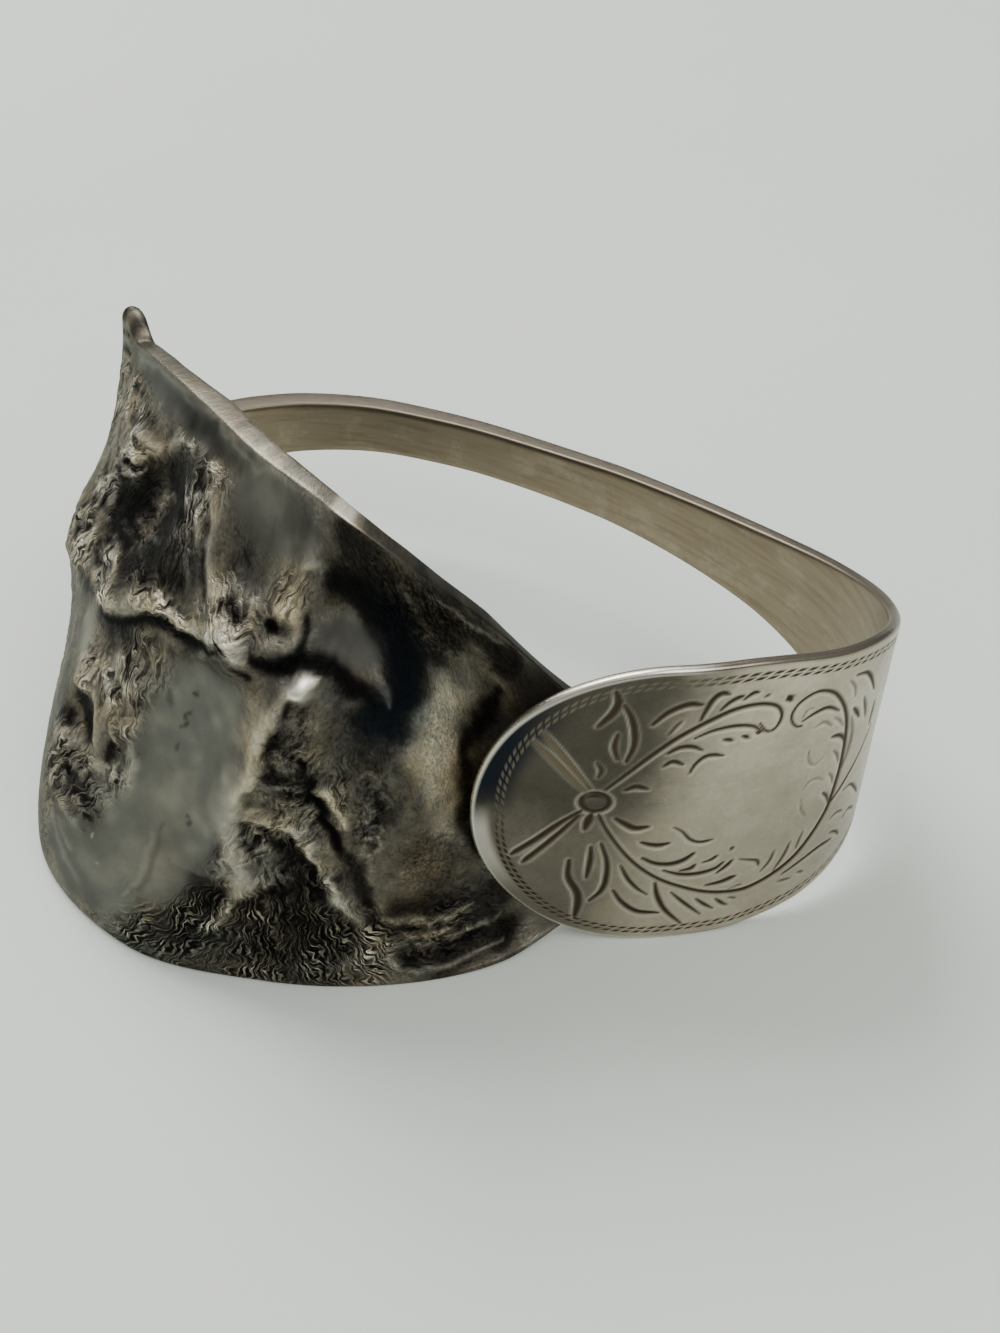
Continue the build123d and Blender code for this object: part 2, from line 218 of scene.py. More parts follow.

# patina, painted from broad to fine, and among its strokes painted shadows, highlights and reflections: tone
# from 0 black to 1 rubbed bright, strength, half width in mm, then the line as places along and up the bowl in
# thousandths
PATINA_AND_PAINTED_LIGHT = [
    # back of the bowl, behind the horn
    (0.2, 0.85, 3.4, [(95, 200), (125, 400), (115, 620)]),
    (0.1, 0.85, 2.6, [(195, 780), (212, 600), (200, 440)]),
    (0.15, 0.85, 3.0, [(165, 100), (205, 200)]),
    (0.14, 0.85, 2.0, [(275, 340), (285, 220), (310, 100)]),
    (0.48, 0.85, 0.7, [(150, 860), (163, 660), (176, 460), (170, 260)]),
    (0.46, 0.85, 0.55, [(234, 720), (241, 520), (231, 320), (236, 120)]),
    (0.44, 0.8, 0.45, [(80, 620), (96, 440), (88, 280)]),
    # left bulge, dark concavity and its fibres
    (0.44, 0.8, 3.2, [(295, 860), (300, 760), (315, 660), (340, 600)]),
    (0.38, 0.7, 2.2, [(340, 650), (370, 645), (400, 640)]),
    (0.12, 0.8, 0.34, [(312, 715), (328, 700), (340, 670)]),
    (0.12, 0.8, 0.28, [(330, 735), (345, 705), (362, 700)]),
    (0.1, 0.8, 0.36, [(298, 665), (312, 645), (325, 610)]),
    (0.14, 0.8, 0.28, [(350, 645), (370, 630), (392, 640)]),
    (0.16, 0.7, 0.26, [(290, 775), (303, 745), (318, 735)]),
    (0.16, 0.7, 0.26, [(285, 830), (300, 800), (314, 795)]),
    (0.2, 0.9, 3.2, [(460, 880), (480, 840), (500, 790)]),
    (0.1, 0.95, 3.6, [(405, 850), (430, 830), (450, 770)]),
    (0.04, 0.95, 3.0, [(372, 800), (380, 740), (400, 710)]),
    (0.13, 0.9, 2.2, [(425, 690), (460, 730), (500, 765)]),
    (0.07, 0.9, 0.9, [(462, 925), (476, 895), (490, 860)]),
    (0.1, 0.8, 1.0, [(365, 655), (390, 690), (415, 685)]),
    (0.16, 0.8, 1.0, [(345, 560), (370, 568), (390, 575)]),
    (0.34, 0.8, 0.3, [(385, 730), (420, 750), (450, 775)]),
    (0.32, 0.8, 0.26, [(375, 700), (405, 715), (440, 738)]),
    (0.38, 0.8, 0.3, [(400, 790), (425, 805), (445, 825)]),
    (0.34, 0.7, 0.24, [(372, 675), (400, 680), (420, 665)]),
    (0.54, 0.95, 0.5, [(318, 797), (335, 834), (350, 848), (365, 862), (384, 882)]),
    (0.52, 0.9, 0.42, [(322, 852), (343, 868), (362, 874), (382, 888)]),
    (0.5, 0.9, 0.36, [(325, 817), (345, 830), (366, 840)]),
    (0.5, 0.9, 0.38, [(315, 772), (339, 792), (358, 802), (368, 814)]),
    (0.48, 0.9, 0.42, [(320, 737), (335, 767), (352, 777)]),
    (0.46, 0.9, 0.42, [(308, 702), (325, 737), (343, 744)]),
    (0.1, 0.9, 0.3, [(332, 803), (350, 815), (366, 825)]),
    (0.1, 0.9, 0.28, [(325, 778), (345, 780), (362, 785)]),
    (0.12, 0.9, 0.28, [(340, 852), (358, 862), (375, 872)]),
    (0.46, 0.9, 0.55, [(384, 882), (403, 902), (414, 925), (433, 940), (456, 949), (478, 945), (492, 925)]),
    (0.36, 0.8, 0.4, [(452, 945), (468, 915), (482, 885), (500, 855), (520, 815)]),
    (0.33, 0.7, 0.35, [(440, 900), (462, 885), (485, 850), (505, 800), (520, 765)]),
    (0.44, 0.8, 0.5, [(375, 648), (400, 670), (425, 667)]),
    (0.42, 0.8, 0.5, [(382, 607), (403, 626), (426, 645)]),
    # light facet at the left edge: a pale reflection painted on it
    (0.6, 1.0, 1.5, [(402, 545), (420, 540), (426, 500)]),
    # upper pool, dark valley, lens; the valley's darkness is a painted dark reflection and the lens a painted
    # grey reflection
    (0.29, 0.6, 1.8, [(545, 885), (575, 875), (605, 868)]),
    (0.2, 0.7, 0.45, [(300, 900), (312, 870), (325, 880)]),
    (0.18, 0.7, 0.4, [(325, 935), (340, 905), (360, 900)]),
    (0.2, 0.7, 0.35, [(290, 935), (305, 925), (318, 935)]),
    (0.5, 0.7, 0.3, [(300, 925), (320, 905), (338, 880)]),
    (0.48, 0.7, 0.28, [(275, 950), (295, 950), (310, 955)]),
    (0.46, 0.7, 0.3, [(350, 945), (365, 915), (375, 900)]),
    (0.27, 0.7, 0.9, [(300, 965), (360, 970), (440, 975), (520, 968)]),
    # painted highlight along the outer edge of the rim
    (0.52, 0.8, 0.26, [(270, 993), (400, 993), (550, 993), (640, 993)]),
    (0.11, 0.95, 3.0, [(675, 965), (720, 960), (760, 955), (820, 955), (860, 940)]),
    (0.44, 0.8, 0.24, [(770, 975), (800, 972), (830, 975), (860, 980)]),
    # dark valley: painted dark reflection in the hollow
    (0.02, 1.0, 3.0, [(668, 880), (700, 870), (735, 850), (755, 825)]),
    (0.03, 1.0, 3.0, [(742, 810), (745, 745), (738, 690), (725, 650)]),
    # painted shadow right of the knob, then more of the valley's painted dark reflection
    (0.05, 0.9, 2.4, [(695, 660), (715, 650), (735, 660)]),
    (0.12, 0.8, 1.6, [(700, 615), (718, 600)]),
    (0.09, 0.9, 2.8, [(765, 890), (790, 905)]),
    # grey lens: painted reflection in the valley, with a dark band under it
    (0.35, 1.0, 1.35, [(655, 800), (672, 800), (690, 785)]),
    (0.37, 1.0, 0.95, [(690, 788), (705, 770), (718, 748)]),
    (0.4, 0.9, 0.55, [(712, 758), (724, 735), (731, 712)]),
    (0.03, 1.0, 0.75, [(628, 735), (645, 748), (668, 737), (695, 722), (718, 705)]),
    # brown top, pale strip, brown ground under it and painted shade beside the plate, where the bowl passes
    # behind it
    (0.24, 0.8, 2.2, [(722, 620), (732, 540), (742, 460)]),
    (0.32, 0.9, 3.4, [(755, 440), (765, 370), (785, 310), (805, 260)]),
    (0.36, 0.85, 2.0, [(824, 890), (816, 850), (803, 800)]),
    (0.66, 0.95, 2.6, [(792, 760), (787, 710), (783, 650), (783, 590), (787, 530)]),
    (0.56, 0.9, 1.6, [(785, 540), (792, 470), (800, 400)]),
    (0.28, 0.8, 1.2, [(835, 870), (828, 810)]),
    (0.08, 0.95, 1.3, [(848, 820), (836, 740), (825, 680), (815, 620)]),
    (0.15, 0.9, 0.9, [(815, 600), (813, 520), (817, 440), (824, 370), (838, 290)]),
    (0.1, 0.9, 1.8, [(848, 900), (860, 970)]),
    (0.14, 0.9, 3.6, [(750, 200), (780, 170), (820, 150), (860, 180)]),
    (0.1, 0.9, 2.4, [(765, 75), (800, 60), (860, 70)]),
    # bottom fan
    (0.15, 0.9, 3.0, [(555, 60), (590, 130), (600, 220)]),
    (0.13, 0.9, 3.6, [(630, 80), (650, 160), (665, 260)]),
    (0.3, 0.85, 1.5, [(530, 10), (600, 18), (650, 22), (720, 30)]),
    (0.1, 0.9, 2.2, [(658, 370), (668, 300), (682, 200), (700, 120)]),
    # triangle facet
    (0.19, 0.9, 2.2, [(648, 640), (655, 570), (655, 500)]),
    (0.19, 0.85, 1.8, [(678, 670), (690, 610), (700, 550)]),
    (0.08, 0.9, 0.6, [(645, 690), (639, 650), (635, 600), (632, 555)]),
    (0.13, 0.7, 0.4, [(634, 540), (648, 562), (660, 565)]),
    (0.19, 0.6, 0.38, [(622, 455), (637, 472), (652, 484), (664, 480)]),
    (0.33, 0.7, 0.38, [(620, 492), (637, 522), (650, 542), (666, 544)]),
    (0.3, 0.8, 0.36, [(628, 567), (640, 587), (655, 602)]),
    (0.32, 0.8, 0.36, [(640, 467), (652, 489), (664, 480)]),
    (0.04, 0.95, 0.55, [(664, 590), (670, 530), (679, 476), (689, 420), (699, 370)]),
    (0.11, 0.85, 1.0, [(703, 360), (713, 310), (722, 250)]),
    (0.5, 0.95, 0.36, [(678, 552), (687, 512), (694, 474), (699, 448)]),
    # bubbly ground
    (0.17, 0.85, 1.9, [(716, 580), (720, 500), (726, 420), (726, 360)]),
    (0.4, 0.8, 0.22, [(704, 470), (712, 488), (719, 468), (714, 446), (706, 452)]),
    (0.42, 0.8, 0.22, [(719, 420), (726, 438), (733, 421), (729, 402), (721, 405)]),
    (0.4, 0.8, 0.22, [(722, 398), (720, 372), (728, 355), (735, 377), (731, 400)]),
    (0.34, 0.8, 0.22, [(722, 505), (728, 522), (735, 500), (730, 480)]),
    (0.3, 0.8, 0.22, [(708, 545), (716, 560), (724, 545), (720, 525)]),
    (0.32, 0.8, 0.3, [(722, 350), (727, 300), (735, 250), (745, 190)]),
    # pool's pale right side, ribbon, knob with a painted highlight on its top
    (0.45, 0.8, 1.9, [(604, 430), (587, 370), (575, 300), (565, 240), (555, 190)]),
    (0.45, 0.8, 1.3, [(622, 650), (613, 570), (606, 500), (606, 440)]),
    (0.2, 0.7, 1.1, [(598, 330), (594, 270), (588, 220)]),
    (0.57, 0.95, 0.7, [(646, 708), (639, 695), (633, 665), (628, 620), (624, 565), (618, 510), (613, 462)]),
    (0.48, 0.9, 0.9, [(612, 445), (616, 395), (624, 345), (628, 300)]),
    (0.42, 0.8, 0.55, [(628, 290), (622, 240), (612, 190), (600, 140)]),
    (0.16, 0.8, 0.5, [(630, 405), (641, 385), (648, 360)]),
    (0.14, 0.8, 0.4, [(622, 415), (626, 385), (636, 350)]),
    (0.3, 0.7, 1.1, [(662, 692), (676, 698)]),
    # painted highlight on the knob
    (1.0, 1.0, 0.4, [(645, 706), (652, 714), (660, 722)]),
    # branch
    (0.54, 0.95, 0.31, [(614, 430), (630, 417), (650, 417), (664, 403), (673, 371), (683, 333), (692, 291),
                        (701, 249), (712, 213)]),
    (0.46, 0.9, 0.45, [(678, 355), (688, 305)]),
    (0.1, 0.85, 0.9, [(645, 375), (660, 345), (670, 290)]),
    (0.38, 0.85, 0.5, [(711, 222), (722, 177), (730, 139), (741, 93), (752, 50)]),
    (0.52, 0.85, 0.3, [(744, 85), (755, 45), (778, 24), (812, 30), (850, 50)]),
    (0.44, 0.8, 0.28, [(735, 205), (757, 178), (785, 163), (820, 155)]),
    (0.42, 0.8, 0.26, [(750, 150), (775, 135), (810, 130)]),
    (0.38, 0.8, 0.24, [(765, 116), (790, 102), (825, 96), (850, 110)]),
    # S ridge and lobe
    (0.42, 0.8, 1.0, [(506, 930), (517, 905), (532, 888)]),
    (0.15, 0.8, 0.5, [(507, 862), (524, 812), (540, 778)]),
    (0.54, 0.95, 0.4, [(499, 940), (504, 905), (516, 870), (530, 832), (545, 807), (560, 797)]),
    (0.34, 0.85, 1.5, [(555, 790), (580, 782), (605, 768)]),
    (0.37, 0.9, 1.2, [(619, 805), (622, 845), (632, 885)]),
    (0.44, 0.9, 0.34, [(545, 812), (565, 817), (585, 813), (602, 801)]),
    (0.44, 0.9, 0.36, [(553, 770), (575, 759), (592, 747), (608, 726)]),
    (0.1, 0.9, 0.3, [(558, 797), (575, 797), (592, 787)]),
    (0.1, 0.9, 0.32, [(545, 750), (565, 745), (582, 736)]),
    (0.46, 0.9, 0.42, [(602, 802), (609, 814), (621, 814), (631, 802), (634, 781), (627, 763), (613, 759)]),
    (0.44, 0.85, 0.5, [(620, 820), (624, 860), (636, 897)]),
    (0.03, 1.0, 0.5, [(611, 788), (618, 785)]),
    (0.1, 0.9, 0.55, [(641, 805), (643, 765)]),
    (0.07, 0.9, 0.65, [(606, 742), (621, 735), (634, 745)]),
    # crumple ridge, its shadow, and the crumpled ground between it and the pool
    (0.2, 0.85, 1.3, [(435, 595), (468, 605), (500, 630)]),
    (0.26, 0.8, 0.9, [(520, 645), (545, 680)]),
    (0.5, 0.95, 0.85, [(429, 633), (448, 654), (463, 678), (478, 700), (500, 713), (520, 722)]),
    (0.48, 0.95, 0.55, [(520, 722), (538, 734), (560, 748), (579, 748), (600, 732)]),
    (0.04, 0.95, 0.55, [(435, 612), (456, 624), (472, 648), (492, 674), (520, 688), (550, 708), (575, 717),
                        (602, 700)]),
    (0.42, 0.8, 0.32, [(540, 660), (556, 691), (568, 706), (579, 712), (590, 706), (600, 682)]),
    (0.4, 0.8, 0.32, [(490, 640), (505, 662), (530, 668)]),
    (0.4, 0.8, 0.3, [(512, 600), (520, 625), (536, 636)]),
    # textured folds left of the pool
    (0.1, 0.95, 1.3, [(446, 440), (456, 410), (459, 385)]),
    (0.46, 0.85, 1.2, [(468, 545), (484, 515), (492, 480)]),
    (0.16, 0.9, 1.9, [(455, 310), (475, 290), (490, 270)]),
    (0.2, 0.8, 1.0, [(433, 390), (433, 350)]),
    (0.5, 0.9, 0.5, [(440, 477), (455, 487), (467, 472), (476, 437), (481, 402), (486, 372)]),
    (0.48, 0.9, 0.55, [(500, 500), (508, 450), (512, 400), (513, 340)]),
    (0.05, 0.9, 0.45, [(497, 430), (495, 385)]),
    (0.42, 0.8, 0.4, [(441, 345), (454, 335), (467, 350), (478, 366)]),
    (0.42, 0.7, 1.5, [(512, 190), (532, 150)]),
    # pits, curls and specks in the pool, pale streaks at its foot
    (0.37, 0.6, 4.5, [(480, 110), (495, 190)]),
    (0.2, 0.8, 0.2, [(550, 603), (556, 598)]),
    (0.22, 0.8, 0.16, [(552, 562), (547, 546), (551, 530), (544, 513)]),
    (0.26, 0.7, 0.16, [(543, 480), (545, 466)]),
    (0.26, 0.7, 0.2, [(530, 575), (535, 560)]),
    (0.24, 0.8, 0.16, [(566, 366), (570, 357), (567, 349)]),
    (0.25, 0.7, 0.15, [(486, 236), (490, 228)]),
    (0.66, 0.8, 0.15, [(497, 233), (498, 226)]),
    (0.62, 0.7, 0.13, [(508, 186), (509, 179)]),
    (0.5, 0.6, 0.3, [(548, 300), (545, 220), (535, 150)]),
    (0.34, 0.6, 0.24, [(556, 320), (552, 240), (545, 170)]),
    # horn: painted shade on its outer side, striped front
    (0.08, 0.9, 0.8, [(218, 900), (224, 1000)]),
    (0.4, 0.9, 0.8, [(255, 900), (250, 1000)]),
    (0.54, 0.9, 0.2, [(230, 925), (252, 950)]),
    (0.12, 0.9, 0.16, [(230, 942), (252, 966)]),
    (0.52, 0.9, 0.18, [(230, 962), (250, 984)]),
    (0.14, 0.9, 0.14, [(230, 980), (248, 998)])]

# navy tint of the painted dark reflection in the valley, then brown tarnish: place along, level up, half spread
# along and up, strength
NAVY_REFLECTIONS = [
    (0.742, 0.750, 0.022, 0.100, 0.8), (0.715, 0.660, 0.020, 0.045, 0.6), (0.720, 0.870, 0.030, 0.035, 0.3)]
BROWN_TINTS = [
    (0.775, 0.300, 0.045, 0.200, 0.9), (0.820, 0.600, 0.018, 0.250, 1.0), (0.800, 0.900, 0.060, 0.080, 0.8),
    (0.655, 0.550, 0.030, 0.130, 0.6), (0.560, 0.250, 0.020, 0.120, 0.5)]

# smooth pools where the metal flowed flat: place along, level up, half spread along and up
POOLS = [
    (0.562, 0.46, 0.056, 0.25), (0.575, 0.62, 0.032, 0.065), (0.500, 0.15, 0.056, 0.11),
    (0.585, 0.94, 0.065, 0.06), (0.545, 0.27, 0.048, 0.14), (0.685, 0.785, 0.036, 0.045),
    (0.413, 0.53, 0.017, 0.045), (0.400, 0.975, 0.12, 0.03), (0.245, 0.14, 0.035, 0.08),
    (0.655, 0.718, 0.011, 0.018), (0.920, 0.50, 0.06, 0.60)]

# ground of the ridges: place along, level up, half spread along and up, height in mm, direction in degrees,
# share of hair-fine ridges and of bubbly grain
GROUNDS = [
    (0.55, 0.06, 0.035, 0.10, 0.14, 52, 1.0, 0.2), (0.59, 0.14, 0.025, 0.10, 0.15, 62, 1.0, 0.2),
    (0.64, 0.10, 0.030, 0.16, 0.15, 86, 1.0, 0.2), (0.69, 0.12, 0.025, 0.15, 0.14, 105, 1.0, 0.2),
    (0.73, 0.10, 0.022, 0.10, 0.12, 120, 1.0, 0.2), (0.46, 0.17, 0.025, 0.09, 0.10, 70, 0.7, 0.2),
    (0.44, 0.30, 0.020, 0.08, 0.18, 55, 1.0, 0.2), (0.45, 0.50, 0.020, 0.07, 0.20, 70, 1.0, 0.2),
    (0.48, 0.53, 0.022, 0.06, 0.22, 95, 1.0, 0.2), (0.507, 0.42, 0.012, 0.12, 0.20, 95, 1.0, 0.2),
    (0.475, 0.29, 0.030, 0.08, 0.15, 60, 1.0, 0.3), (0.50, 0.60, 0.030, 0.05, 0.16, 115, 0.9, 0.3),
    (0.33, 0.63, 0.040, 0.08, 0.22, 60, 1.0, 0.2), (0.345, 0.82, 0.040, 0.07, 0.18, 28, 0.9, 0.2),
    (0.33, 0.72, 0.030, 0.06, 0.20, 45, 1.0, 0.2), (0.40, 0.64, 0.040, 0.05, 0.22, 25, 1.0, 0.3),
    (0.42, 0.76, 0.040, 0.07, 0.09, 24, 0.4, 0.2), (0.41, 0.87, 0.040, 0.05, 0.07, 20, 0.4, 0.2),
    (0.485, 0.85, 0.030, 0.10, 0.16, 122, 1.0, 0.2), (0.46, 0.94, 0.050, 0.03, 0.10, 20, 0.7, 0.3),
    (0.50, 0.71, 0.060, 0.03, 0.22, 24, 0.9, 0.5), (0.575, 0.775, 0.035, 0.045, 0.18, 168, 1.0, 0.4),
    (0.622, 0.85, 0.018, 0.06, 0.12, 70, 0.7, 0.5), (0.26, 0.52, 0.050, 0.16, 0.22, 48, 0.9, 0.2),
    (0.22, 0.30, 0.030, 0.14, 0.20, 75, 0.9, 0.2), (0.33, 0.28, 0.060, 0.20, 0.14, 55, 0.6, 0.3),
    (0.655, 0.57, 0.026, 0.12, 0.10, 40, 0.5, 0.9), (0.718, 0.46, 0.016, 0.12, 0.14, 100, 0.3, 1.0),
    (0.665, 0.28, 0.030, 0.10, 0.12, 104, 1.0, 0.4), (0.76, 0.955, 0.080, 0.035, 0.10, 165, 0.5, 0.9),
    (0.79, 0.12, 0.050, 0.08, 0.10, 168, 0.8, 0.7), (0.78, 0.33, 0.035, 0.09, 0.03, 150, 0.1, 0.9),
    (0.785, 0.65, 0.025, 0.16, 0.02, 90, 0.0, 0.7), (0.14, 0.50, 0.080, 0.35, 0.16, 80, 0.7, 0.3),
    (0.24, 0.85, 0.040, 0.15, 0.18, 70, 0.8, 0.3), (0.605, 0.30, 0.012, 0.14, 0.12, 78, 0.8, 0.3),
    (0.630, 0.37, 0.014, 0.05, 0.14, 60, 0.9, 0.4), (0.690, 0.50, 0.012, 0.10, 0.10, 110, 0.6, 0.6),
    (0.30, 0.90, 0.050, 0.07, 0.12, 75, 0.8, 0.7), (0.76, 0.90, 0.050, 0.06, 0.06, 150, 0.3, 1.0),
    (0.66, 0.45, 0.030, 0.14, 0.06, 60, 0.6, 0.8)]

